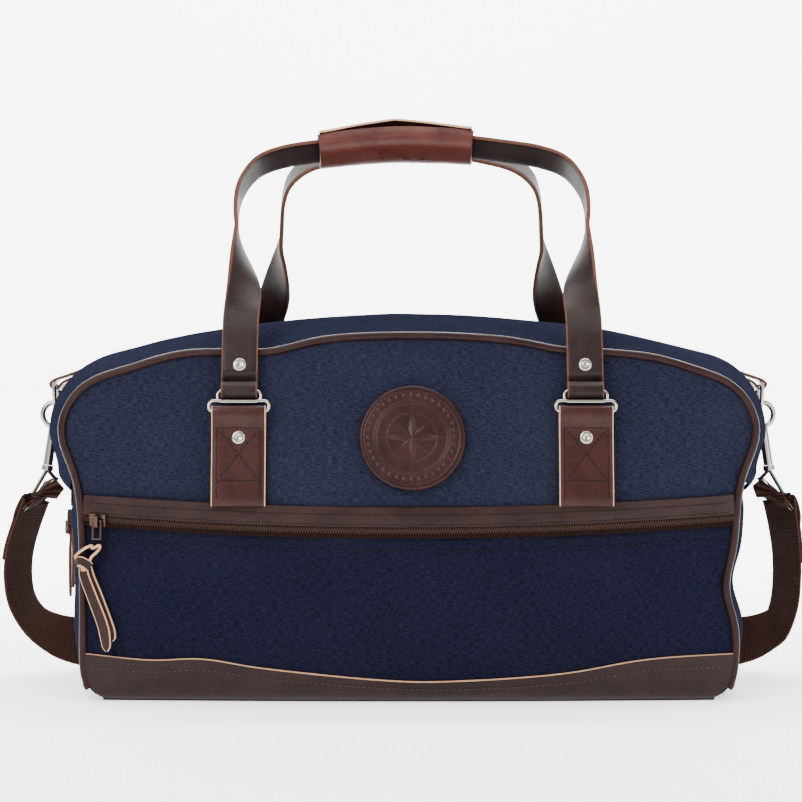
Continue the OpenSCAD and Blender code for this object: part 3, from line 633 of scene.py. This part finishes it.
# Main zip: woven tape and coil
nor = np.stack([ring[:, 2], 0 * ring[:, 2], ring[:, 3]], -1)
g = np.stack([crown_pt(ring, y, CROWN - 1.5) for y in np.linspace(-8.2, 8.2, 5)], 0)
uv = np.stack([np.broadcast_to(np.linspace(-8, 8, 5)[:, None], g.shape[:2]),
               np.broadcast_to(ring_s, g.shape[:2])], -1)
sheet("main_zip", g, 1.0, ["zip_tape"], "bag", ["main_zip"], uv, flip=True)
line, up = resample(crown_pt(ring, 0.0, CROWN - 0.9), 0.9, nor)
shift = np.where(np.arange(len(line)) % 2 == 0, -1.0, 1.0)[:, None] * np.array([[0, 1, 0]])
ball_row("main_zip_teeth", line + shift, tangents(line), unit(up), (0.62, 1.7, 0.85), ["zip_coil"], "bag")

# Piping
hoop = outline(4, low=9.0)
for side, name in ((-1, "front"), (1, "back")):
    mid, out = resample(crown_pt(hoop, side * HALF_D, 0.0), 3.0,
                        np.stack([hoop[:, 2], 0 * hoop[:, 2], hoop[:, 3]], -1))
    mid = settle(mid + out * 0.5 + np.array([0, side * 0.4, 0]))
    for turn in range(3):
        mid[2:-2] = (mid[:-4] + mid[1:-3] + mid[2:-2] + mid[3:-1] + mid[4:]) / 5
        out[2:-2] = (out[:-4] + out[1:-3] + out[2:-2] + out[3:-1] + out[4:]) / 5
    r = PIPE_R * 0.8 * (1 + 0.05 * ripple(mid, 14, 31 + side) + 0.04 * ripple(mid, 5, 33 + side))
    tube("piping_" + name, mid, unit(out), r, ["piping_leather"], "bag", ["piping_" + name])

# ---- Leather base ----
LIP = np.array([(-1.0, 33.5), (-0.8, 29.5), (-0.63, 30.5), (-0.44, 24.0), (-0.09, 16.0), (0.13, 15.0),
                (0.46, 20.0), (0.73, 30.0), (1.0, 33.5)])


def lip(u):
    c = catmull(LIP, 8)
    return np.interp(u, c[:, 0], c[:, 1])


for side, name in ((-1, "front"), (1, "back")):
    g = face_grid(side, lambda u: 0 * u + 0.4, lip if side < 0 else (lambda u: 31 - 12 * (1 - u * u)), 150,
                  22, 2.6, 5, 0.4)
    g[:, :, 0] *= 1.004
    sheet("base_lip_" + name, g, 2.2, ["base_leather", "edge"], "bag", [], None,
          flip=side > 0)
    u = np.linspace(-0.985, 0.985, 240)
    z = lip(u) - 5 - 4 * np.abs(u) if side < 0 else 23 - 9 * (1 - u * u)
    line = settle(np.stack([u * (half_w(z) - INSET), side * (face_d(u, z) + 2.75), z], -1))
    stitches("base_stitches_" + name, [(line, (0, side * 1.0, 0))], "bag", "thread_pale",
             4.2, 2.2, 0.42, 0.05)
us = np.sin(np.linspace(-math.pi / 2, math.pi / 2, 60))
rows = [np.stack([us * (half_w(2.0) - 0.5), t * (face_d(us, np.full(60, 1.0)) + 1.4), 0 * us], -1)
        for t in np.linspace(-1, 1, 24)]
sheet("base_floor", np.array(rows), 2.2, ["base_leather"], "bag", ["base"],
      np.array(rows)[:, :, :2], flip=True)


# ---- Front pocket: leather facing, coil zip and stitching ----
phi = np.linspace(-PKT_A - 0.0065, PKT_A + 0.0065, 200)
g = np.stack([pocket_pt(phi, a, 1.9 + 0.25 * math.sin(math.pi * (a - 3) / 13.5))
              for a in np.linspace(2.8, 16.6, 14)], 0)
g = g + (ripple(g, 24, 41) * 0.35)[..., None] * np.array([0, -1.0, 0])
arc = PKT_R * phi
uv = np.stack([np.broadcast_to(arc, g.shape[:2]), np.broadcast_to(np.linspace(0, 13.8, 14)[:, None],
                                                                  g.shape[:2])], -1)
sheet("pocket_facing", g, 1.6, ["dark_leather", "dark_leather"], "bag", ["pocket_facing"], uv)
g = np.stack([pocket_pt(phi, a, 0.2) for a in np.linspace(-5.5, 4.5, 6)], 0)
uv = np.stack([np.broadcast_to(np.linspace(0, 10, 6)[:, None], g.shape[:2]),
               np.broadcast_to(arc, g.shape[:2])], -1)
sheet("pocket_zip", g, 0.9, ["zip_tape"], "bag", ["pocket_zip"], uv)
line = resample(np.stack([pocket_pt(phi, 0.0, 0.9)], 0)[0], 0.9)[0]
shift = np.where(np.arange(len(line)) % 2 == 0, -0.9, 0.9)[:, None] * np.array([[0, 0, 1.0]])
ball_row("pocket_zip_teeth", line + shift, tangents(line), np.tile([0, -1.0, 0], (len(line), 1)),
         (0.62, 1.5, 0.8), ["zip_coil"], "bag")
rows = []
for a, out in ((11.4, 2.2), (4.4, 2.05)):
    rows.append((pocket_pt(phi[2:-2], a, out), (0, -1.0, 0.1)))
stitches("facing_stitches", rows, "bag", "thread_brown", 3.3, 2.5, 0.42, 0.1)
rows = []
for drop in (4.0, 10.2):
    u = np.linspace(-0.985, 0.985, 220)
    z = pocket_line(u) - POCKET_EDGE - drop
    rows.append((settle(np.stack([u * (half_w(z) - INSET), -(face_d(u, z) + 0.3), z], -1)), (0, -1.0, 0)))
stitches("pocket_stitches", rows, "bag", "thread_dark", 3.6, 2.7, 0.5, 0.25)


# ---- Embossed patch ----
def emboss(r, t):
    """Height of the patch's relief at radius r and angle t."""
    h = 2.2 - 1.6 * max(0, (r - 35.9) / 1.6) ** 2
    for ring_r, width, deep in ((26.6, 0.6, 0.45), (24.9, 0.5, 0.4), (33.6, 0.45, 0.3)):
        h += deep * math.exp(-((r - ring_r) / width) ** 2)
    if 27.5 < r < 32.8:
        beads = 0.5 + 0.5 * math.cos(36 * t)
        h += 0.5 * beads ** 2 * math.exp(-((r - 30.2) / 1.5) ** 2)
    for count, reach, width, deep in ((4, 22.5, 0.34, 0.75), (4, 14.5, 0.42, 0.5)):
        turn = 0 if reach > 20 else math.pi / 4
        a = (t - turn + math.pi / 4) % (math.pi / 2) - math.pi / 4
        x, y = r * math.cos(a), abs(r * math.sin(a))
        half = (reach - x) * width * 0.5
        if x < reach and y < half:
            h = max(h, 2.2 + deep * (1 - y / half) + 0.15)
    return h + 0.45 * math.exp(-((r - 17.5) / 0.5) ** 2) * (0.4 + 0.6 * (math.cos(24 * t) > 0))


PATCH_R = 37.6
rad, ang = np.linspace(0.3, PATCH_R - 0.1, 110), np.linspace(0, 2 * math.pi, 361)[:-1]
tilt = math.radians(12.3)
axis_up = np.array([0, math.sin(tilt), math.cos(tilt)])
axis_out = np.array([0, -math.cos(tilt), math.sin(tilt)])
centre = np.array([2.5, -HALF_D - SWELL * 0.79 - 1.4, 187])
verts, uvs = [], []
for r in rad:
    for t in ang:
        verts.append(centre + np.array([1.0, 0, 0]) * r * math.cos(t) + axis_up * r * math.sin(t)
                     + axis_out * (emboss(r, t) + 0.4))
        uvs.append((r * math.cos(t), r * math.sin(t)))
for t in ang:
    x, y = PATCH_R * math.cos(t), PATCH_R * math.sin(t)
    verts.append(centre + np.array([x, 0, 0]) + axis_up * y + axis_out * -0.6)
    uvs.append((x, y))
n = len(ang)
faces = grid_faces(len(rad) + 1, n, wrap=True) + [tuple(range(n))[::-1],
                                                  tuple(range(len(rad) * n, (len(rad) + 1) * n))]
faces = [f[::-1] for f in faces]
put("patch", verts, faces, ["patch_leather"], "bag", ["patch"], uvs)
t = np.linspace(0, 2 * math.pi, 200)
seam = centre + 34.9 * (np.cos(t)[:, None] * np.array([1.0, 0, 0])
                        + np.sin(t)[:, None] * axis_up) + axis_out * 2.6
stitches("patch_stitches", [(seam, axis_out)], "bag", "thread_brown", 3.6, 2.6, 0.45, 0.05)

# ---- Handle tabs ----
TAB_X, TAB_W, TAB_T, TAB_LEAN, BAR_Y, BAR_Z = 122.0, 38.0, 2.15, math.radians(8.8), 136.3, 205.7
SHIFT = 2.5


def spun(p, a):
    """Turns points about X by a."""
    c, s = math.cos(a), math.sin(a)
    return np.stack([p[..., 0], p[..., 1] * c - p[..., 2] * s, p[..., 1] * s + p[..., 2] * c], -1)


def on_tab(p, side, x):
    q = spun(np.asarray(p, float), -TAB_LEAN) + np.array([x + SHIFT, -BAR_Y, BAR_Z])
    return q if side < 0 else q * np.array([1, -1, 1])


def disc_cap(name, centre, out, r, high, body, nodes=(), dimple=0.0, finish="nickel"):
    """A domed rivet or snap head; dimple sinks its middle."""
    out = unit(np.asarray(out, float))
    a = unit(np.cross(out, np.array([0.3, 0.9, 0.2])))
    b = np.cross(out, a)
    prof = [(0.0, 1 - dimple), (0.25, 1 - dimple), (0.42, 1 - 0.3 * dimple), (0.55, 1.0), (0.8, 0.86),
            (0.94, 0.6), (1.0, 0.2), (1.0, -0.4)]
    verts = []
    for q, h in prof:
        for k in range(36):
            w = 2 * math.pi * k / 36
            verts.append(centre + (a * math.cos(w) + b * math.sin(w)) * r * max(q, 0.02) + out * high * h)
    faces = [f[::-1] for f in grid_faces(len(prof), 36, wrap=True)] + [tuple(range(36))]
    return put(name, verts, faces, [finish], body, nodes)


TAB_LINE = [(0, 2.4, -66.5), (0, 1.2, -60), (0, 0.8, -45), (0, 0.7, -28), (0, 0.3, -16), (0, -0.9, -9),
            (0, -2.6, -4), (0, -3.15, 0), (0, -2.3, 2.3), (0, 0, 3.2), (0, 2.3, 2.3), (0, 3.15, 0),
            (0, 3.1, -8), (0, 2.9, -30), (0, 3.1, -58), (0, 4.4, -66.5)]
for side, fb in ((-1, "front"), (1, "back")):
    for sx, lr in ((-1, "left"), (1, "right")):
        path = on_tab(catmull(TAB_LINE, 6), side, sx * TAB_X)
        wide = np.full(len(path), TAB_W)
        band(f"tab_{fb}_{lr}", path, np.tile([1.0, 0, 0], (len(path), 1)), wide, TAB_T,
             ["red_leather", "edge"], "bag", [f"tab_{fb}_{lr}"])
        y = -0.35
        box = [(-15.3, -49), (-15.3, -12), (15.3, -12), (15.3, -49), (-15.3, -49)]
        runs = []
        for (ax, az), (bx, bz) in [*zip(box, box[1:]), ((-15.3, -49), (-15.3, -62)),
                                   ((15.3, -49), (15.3, -62)), ((-13, -14), (13, -47)),
                                   ((13, -14), (-13, -47))]:
            k = np.linspace(0, 1, 12)[:, None]
            line = np.array([[ax, y, az]]) * (1 - k) + np.array([[bx, y, bz]]) * k
            line[:, 1] = np.interp(line[:, 2], [-28, -16, -9], [-0.38, -0.8, -1.9])
            runs.append((on_tab(line, side, sx * TAB_X), (0, side * 1.0, 0.15)))
        stitches(f"tab_stitches_{fb}_{lr}", runs, "bag", "thread_brown", 3.2, 2.5, 0.42, 0.05)
        at = on_tab(np.array([0.0, -0.1, -18.5]), side, sx * TAB_X)
        out = np.array([0, side * math.cos(TAB_LEAN), math.sin(TAB_LEAN)])
        disc_cap(f"tab_rivet_{fb}_{lr}", at + out * 0.5, out, 4.9, 1.5, "bag",
                 ["tab_rivets"] if side < 0 and sx < 0 else [], 0.45)

# ---- Handle loops and straps ----
LEAN, LOOP_LEAN, LOOP_RISE = math.radians(32.2536), math.radians(17), 15.0
REACH = 218.702
LOOP_WIRE_R, STRAP_W, STRAP_T = 1.4, 25.6, 3.0
LOOP_UP = np.array([SHIFT, -131.914, 220.045])
FRONT_HALF = [(0, 1, 0), (35, 0.993, 0), (66, 0.973, 0), (95, 0.947, 0), (115, 0.9, 0), (127, 0.8, 0.3),
              (129, 0.68, 1), (125, 0.55, 3), (121, 0.4, 6), (122, 0.265, 8.6), (122, 0.19, 9.4),
              (122, 0.13, 7.9), (122, 0.07, 4.6)]
BACK_HALF = [(0, 1, 0), (30, 0.993, 0), (54, 0.973, 0), (77, 0.94, 0), (92, 0.88, 0), (98, 0.8, 0.3),
             (100, 0.7, 1), (102, 0.55, 3), (107, 0.4, 6), (115, 0.265, 8.6), (118, 0.19, 9.4),
             (120, 0.13, 7.9), (122, 0.07, 4.6)]


def on_handle(p, side):
    q = spun(np.asarray(p, float), -LEAN) + LOOP_UP
    return q if side < 0 else q * np.array([1, -1, 1])


def on_loop(p, side, x):
    q = spun(np.asarray(p, float) + np.array([0, 0, LOOP_RISE]), -LOOP_LEAN)
    q = q + np.array([SHIFT + x, -BAR_Y, BAR_Z])
    return q if side < 0 else q * np.array([1, -1, 1])


def whole(half):
    pts = [(x, -bow, k * REACH) for x, k, bow in half]
    return catmull([(-x, y, z) for x, y, z in pts[::-1]] + pts[1:], 8)


def rounded(w, low, high, r):
    """A closed rounded rectangle in X and Z, half width w."""
    pts = []
    for cx, cz, a0 in ((w - r, high - r, 0), (-w + r, high - r, 90), (-w + r, low + r, 180),
                       (w - r, low + r, 270)):
        for a in np.radians(np.linspace(a0, a0 + 90, 9)):
            pts.append((cx + r * math.cos(a), 0, cz + r * math.sin(a)))
    return np.array(pts + pts[:1])


for side, fb in ((-1, "front"), (1, "back")):
    for sx, lr in ((-1, "left"), (1, "right")):
        for part, ring_path in (("wide", rounded(21.2, -15, -7.4, 3.7)),
                                ("slot", rounded(15.2, -8.0, 0.0, 3.8))):
            path = on_loop(ring_path, side, sx * TAB_X)
            out = np.tile([0, side * 1.0, 0.01], (len(path), 1))
            tube(f"loop_{part}_{fb}_{lr}", path, out, LOOP_WIRE_R, ["nickel"], f"{fb}_loop_{lr}",
                 [f"loop_{fb}_{lr}"] if part == "wide" else [])

FOLD = [(-0.2, 6.2), (-2.0, 4.2), (-3.5, 1.4), (-3.5, -1.4), (-2.2, -3.0), (0, -3.75), (2.2, -3.0),
        (3.4, -1.4), (3.75, 1.5), (3.55, 6), (3.4, 14), (3.4, 27)]
for side, fb in ((-1, "front"), (1, "back")):
    body = fb + "_handle"
    arch = whole(FRONT_HALF if side < 0 else BACK_HALF)
    t = tangents(arch)
    twist = np.radians(90) * np.clip((arch[:, 2] / REACH - 0.3) / 0.32, 0, 1)
    cross = np.cross(t, np.array([0, 1.0, 0]))
    dirs = cross * np.cos(twist)[:, None] + np.array([0, -1.0, 0]) * np.sin(twist)[:, None]
    path, dirs = resample(arch, 3.0, dirs)
    fold = catmull([(0, y, z) for y, z in FOLD], 4)
    spin = spun(dirs, -LEAN) * np.array([1, -side, 1])
    ex = np.tile([1.0, 0, 0], (len(fold), 1))
    full = np.concatenate([on_loop(fold[::-1], side, -TAB_X), on_handle(path, side),
                           on_loop(fold, side, TAB_X)])
    turned = np.concatenate([ex * np.sign(dirs[0][0]), spin, ex * np.sign(dirs[-1][0])])
    band("strap_" + fb, full, turned, STRAP_W, STRAP_T, ["strap_leather", "edge_dim"], body,
         ["strap_" + fb], steps=9)
    for sx, lr in ((-1, "left"), (1, "right")):
        at = on_loop(np.array([0.0, -1.3, 19.0]), side, sx * TAB_X)
        out = np.array([0, side * math.cos(LOOP_LEAN), math.sin(LOOP_LEAN)])
        disc_cap(f"strap_rivet_{fb}_{lr}", at, out, 4.9, 1.6, body, ["strap_rivets_" + fb]
                 if sx < 0 else [], 0.45)

# ---- Grip wrap and flap ----
GRIP_MID, GRIP = -12.0, 57.5
arch = whole(FRONT_HALF)


def along_grip(half, step):
    """The grip's centreline and its outward direction, to half a length each side of the grip's middle."""
    line = resample(arch[np.abs(arch[:, 0] - GRIP_MID) <= half + 12], 0.5)[0]
    line = resample(line[np.abs(line[:, 0] - GRIP_MID) <= half], step)[0]
    up = unit(np.cross(np.array([0, 1.0, 0]), tangents(line)))
    up[up[:, 2] < 0] *= -1
    return line, up


g_path, g_up = along_grip(GRIP, 2.0)
WH, WL, WT = 15.6, 10.0, 4.0
shape = []
for a in np.linspace(math.pi, 2 * math.pi, 23):
    shape.append((WH * math.copysign(abs(math.cos(a)) ** 0.62, math.cos(a)),
                  WL * math.copysign(abs(math.sin(a)) ** 0.8, math.sin(a))))
shape = [(-WH, WT), (-WH, 1.5)] + shape + [(WH, 1.5), (WH, WT)]
g = np.stack([g_path + np.array([0, -1.0, 0]) * a + g_up * b for a, b in shape], 0)
far = np.abs(g_path[:, 0] - GRIP_MID) / GRIP
puff = ripple(g, 30, 51) * 0.7 + ripple(g, 9, 52) * 0.25
g = g + (g - g_path[None]) * (0.06 * (1 - far[None] ** 3) - 0.02 + puff * 0.04)[..., None]
uv = np.stack([np.broadcast_to(lengths(g_path), g.shape[:2]),
               np.broadcast_to(lengths(np.array(shape))[:, None], g.shape[:2])], -1)
sheet("grip_wrap", on_handle(g, -1), 1.9, ["grip_leather", "grip_leather"], "front_handle",
      ["grip_wrap"], uv)

f_path, f_up = along_grip(GRIP - 1.5, 1.6)
far = np.abs(f_path[:, 0] - GRIP_MID) / GRIP
front = 17.4 - 5 * (1 - far)
rise = 9.0 * np.clip(1 - far / 0.9, 0, 1) ** 1.1
rows = []
for k in np.linspace(0, 1, 16):
    q = -15.1 + (front + 15.1) * k
    high = 6.0 + rise * (0.3 + 0.7 * k) + 0.8 * math.sin(math.pi * k)
    rows.append(f_path + np.array([0, -1.0, 0]) * q[:, None] + f_up * high[:, None])
g = np.array(rows)
uv = np.stack([np.broadcast_to(lengths(f_path), g.shape[:2]),
               np.broadcast_to(np.linspace(0, 31, 16)[:, None], g.shape[:2])], -1)
sheet("grip_flap", on_handle(g, -1), 2.0, ["red_leather", "edge"], "grip_flap",
      ["grip_flap"], uv, flip=True)
for sx, lr in ((-1, "left"), (1, "right")):
    spot = GRIP_MID + sx * 44.5
    low = 4.6 if sx < 0 else 2.0
    at = on_handle(np.array([spot, -6.0, REACH + 6.3 - low]), -1)
    out = spun(np.array([sx * 0.1, 0, 1.0]), -LEAN)
    disc_cap("flap_snap_" + lr, at + out * 1.2, out, 5.4, 2.2, "grip_flap", ["flap_snaps"]
             if sx < 0 else [], 0.3)

# ---- Metal parts keep their solid shape and take a nickel finish ----
METAL = ["snap_studs"] + [f"{a}_{b}" for a in ("d_ring", "hook", "gate", "gate_pin", "swivel_eye")
                          for b in ("left", "right")]
for names, finish in ((METAL, "nickel"), (["main_slider", "main_bail", "pocket_slider", "pocket_bail"],
                                          "dark_metal")):
    for n in names:
        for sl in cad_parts[n].material_slots:
            sl.material = M[finish]

# ---- End tabs ----
for sx, lr in ((-1, "left"), (1, "right")):
    line = catmull([(-228, 247.2), (-241, 241.5), (-257, 235.2), (-268, 231.4), (-273, 229.6),
                    (-276.6, 226.5), (-275, 223), (-272, 222.3), (-269.6, 224.4), (-266, 228),
                    (-254, 233.2), (-240, 239.0)], 6)
    path = np.stack([line[:, 0] * -sx, np.full(len(line), 60.0), line[:, 1]], -1)
    band("end_tab_" + lr, path, np.tile([0, 1.0, 0], (len(path), 1)), 20.0, 1.9,
         ["dark_leather", "edge_dim"], "bag", ["end_tab_" + lr])

# ---- Shoulder strap: one length of ribbed webbing, its ends folded round the eyes and sewn back ----
WEB_W, WEB_T, EYE_BAR = 38.0, 2.2, (285.3, 56.8, 140.3)
ROUTE = [(-288, 57, 136.5), (-295, 58, 118), (-301, 59, 98), (-303, 61, 78), (-300, 63, 58), (-290, 67, 41),
         (-275, 75, 30), (-261, 87, 24.5), (-251, 104, 21.5), (-246, 124, 20.5), (-231, 148, 20.5),
         (-206, 166, 20.5), (-172, 176, 20.5), (-110, 179, 20.5), (-50, 180, 20.5)]
ACROSS = [(0.53, 0.65, 0.54), (0.48, 0.8, 0.3), (0.44, 0.88, 0.1), (0.42, 0.9, 0.05), (0.4, 0.9, 0.15),
          (0.3, 0.85, 0.4), (0.15, 0.65, 0.7), (0, 0.4, 0.9), (0, 0.2, 1), (0, 0.1, 1), (0, 0, 1),
          (0, 0, 1), (0, 0, 1), (0, 0, 1), (0, 0, 1)]


def both_halves(rows, middle, sign):
    return [*rows, middle, *[(sign * a, b, c) for a, b, c in rows[::-1]]]


path = catmull(both_halves(ROUTE, (0, 180, 20.5), -1), 8)
path[:, 0] -= 0.55 * np.maximum(path[:, 0] - 287, 0)
dirs = catmull(both_halves(ACROSS, (0, 0, 1), -1), 8)
path, dirs = resample(path, 4.0, dirs)
web = band("shoulder_strap", path, dirs, WEB_W, WEB_T, ["webbing", "webbing"], "carry_strap",
           ["shoulder_strap"], steps=11)
web_t = tangents(path)
web_side = unit(dirs - np.sum(dirs * web_t, 1, keepdims=True) * web_t)
web_face = np.cross(web_t, web_side)
for sx, lr in ((-1, "left"), (1, "right")):
    pick = slice(1, 13) if sx < 0 else slice(len(path) - 13, len(path) - 1)
    outward = web_face[pick] * (1 if web_face[pick][5][1] > 0 else -1)
    p, d, w = path[pick], dirs[pick], outward
    if sx > 0:
        p, d, w = p[::-1], d[::-1], w[::-1]
    bar = np.array([sx * EYE_BAR[0], *EYE_BAR[1:]])
    down = unit(p[0] - bar)
    out = w[0]
    loop = catmull([p[3] + w[3] * 2.3, p[0] + w[0] * 2.8, bar + out * 3.2 - down * 0.5, bar - down * 3.3,
                    bar - out * 3.0 - down * 0.5, p[0] - w[0] * 0.6], 5)
    lap = np.concatenate([(p + w * 2.3)[::-1][:-4], loop])
    lap_d = np.concatenate([d[::-1][:-4], np.tile(d[0], (len(loop), 1))])
    lap, lap_d = resample(lap, 2.4, lap_d)
    band("webbing_end_" + lr, lap, lap_d, 37.6, 2.0, ["webbing", "webbing"], "carry_strap",
                     [], steps=11)
    runs = []
    for row in (7, 10):
        k = np.linspace(-16, 16, 14)[:, None]
        dd = unit(d[row] - np.dot(d[row], unit(p[row + 1] - p[row - 1])) * unit(p[row + 1] - p[row - 1]))
        runs.append((p[row] + w[row] * 3.4 + dd * k, w[row]))
    stitches("webbing_stitches_" + lr, runs, "carry_strap", "thread_brown", 3.0, 2.3,
                         0.45, 0.1)


# ---- Knotted zip pulls ----
def zip_pull(name, origin, turn, reach, drift, body, node, rim, slip=0.0):
    """A thong knotted through a bail at the origin: a heart-shaped loop, a wrap and two hanging tails."""
    c, s = math.cos(turn), math.sin(turn)

    def at(p):
        p = np.asarray(p, float)
        return np.stack([p[:, 0] * c - p[:, 1] * s, p[:, 0] * s + p[:, 1] * c, p[:, 2]], 1) + origin

    deep = np.array([s, -c, 0])
    wide = np.array([c, s, 0.0])
    heart = catmull([(1.5, 0, -21), (-3.0, 0, -17), (-6.3, 0, -11), (-5.6, 0, -5.6), (-2.6, 0, -3.2),
                     (0, 0, -5.2), (2.8, 0, -3.0), (5.8, 0, -5.8), (6.0, 0, -11), (2.6, 0, -17),
                     (-1.5, 0, -21)], 6)
    heart[:, 0] -= slip * np.clip((-heart[:, 2] - 3) / 8, 0, 1)
    path = at(heart)
    band(name + "_knot", path, np.tile(deep, (len(path), 1)), 6.2, 2.0, ["dark_leather", rim], body,
         [node])
    wrap = at(catmull([(-5 - slip, -2.6, -15.5), (-2 - slip, -4.2, -14.0), (2 - slip, -4.2, -15.5),
                       (5 - slip, -2.6, -18.5)], 5))
    band(name + "_wrap", wrap, np.tile([0, 0, 1.0], (len(wrap), 1)), 6.5, 1.8, ["dark_leather", rim], body)
    for k, (dx, dy, end) in enumerate(((-0.8, -1.0, 0.0), (2.2, 1.2, -7.0))):
        line = catmull([(dx * 0.3 - slip, dy, -13), (dx + 0.08 * drift - slip, dy, -24),
                        (dx + 0.35 * drift - 0.6 * slip, dy * 1.4, -0.5 * reach),
                        (dx + 0.7 * drift, dy * 1.2, -0.78 * reach), (dx + drift, dy, -reach - end)], 8)
        path = at(line)
        f = np.linspace(0, 1, len(path))
        w = np.interp(f, [0, 0.25, 0.8, 0.93, 1], [5.5, 7.2, 8.2, 6.5, 1.6])
        band(f"{name}_tail_{k}", path, np.tile(wide, (len(path), 1)), w, 1.9, ["dark_leather", rim], body)


POCKET_BAIL, POCKET_TURN = np.array([-220.6, -124.6, 114.1]), -math.radians(15.1)
MAIN_BAIL, MAIN_TURN = np.array([-253.3, 0, 133.8]), -math.radians(90)
zip_pull("pocket_pull", POCKET_BAIL, POCKET_TURN, 78.0, 9.0, "pocket_thong", "pocket_thong", "edge", 9.0)
zip_pull("main_pull", MAIN_BAIL, MAIN_TURN, 68.0, 3.0, "main_thong", "main_thong", "edge_dim")

# ---- Floor and light ----
me = bpy.data.meshes.new("floor")
depth = [(-6, 0), (2.2, 0), (2.8, 0.05), (3.3, 0.25), (3.6, 0.7), (3.7, 1.4), (3.7, 6)]
me.from_pydata([(x, y, z - 0.0002) for y, z in depth for x in (-9, 9)], [],
               [(2 * i, 2 * i + 1, 2 * i + 3, 2 * i + 2) for i in range(6)])
floor_finish = plain("floor", (0.96, 0.96, 0.96), 0.9)
floor_glow = floor_finish.node_tree.nodes["Principled BSDF"].inputs
floor_glow["Emission Color"].default_value = (1, 1, 1, 1)
floor_glow["Emission Strength"].default_value = 1.0
me.materials.append(floor_finish)
me.polygons.foreach_set("use_smooth", np.full(6, True))
floor = bpy.data.objects.new("floor", me)
bpy.context.scene.collection.objects.link(floor)


def lamp(name, where, aim, size, power):
    data = bpy.data.lights.new(name, "AREA")
    data.shape = "RECTANGLE"
    data.size, data.size_y = size
    data.energy = power
    ob = bpy.data.objects.new(name, data)
    ob.location = where
    ob.rotation_euler = (Vector(aim) - Vector(where)).to_track_quat("-Z", "Y").to_euler()
    bpy.context.scene.collection.objects.link(ob)


lamp("key", (-1.3, -2.1, 1.7), (0, 0, 0.2), (1.4, 1.4), 84)
lamp("fill", (1.9, -1.8, 1.0), (0, 0, 0.2), (1.6, 1.6), 40)
lamp("top", (0, 0.2, 2.3), (0, 0, 0.2), (2.4, 1.6), 75)
lamp("wall", (0, 1.2, 2.6), (0, 3.7, 0.8), (4.0, 1.0), 500)
world = bpy.data.worlds.new("world")
world.use_nodes = True
world.node_tree.nodes["Background"].inputs["Color"].default_value = (1, 1, 1, 1)
world.node_tree.nodes["Background"].inputs["Strength"].default_value = 1.0
bpy.context.scene.world = world
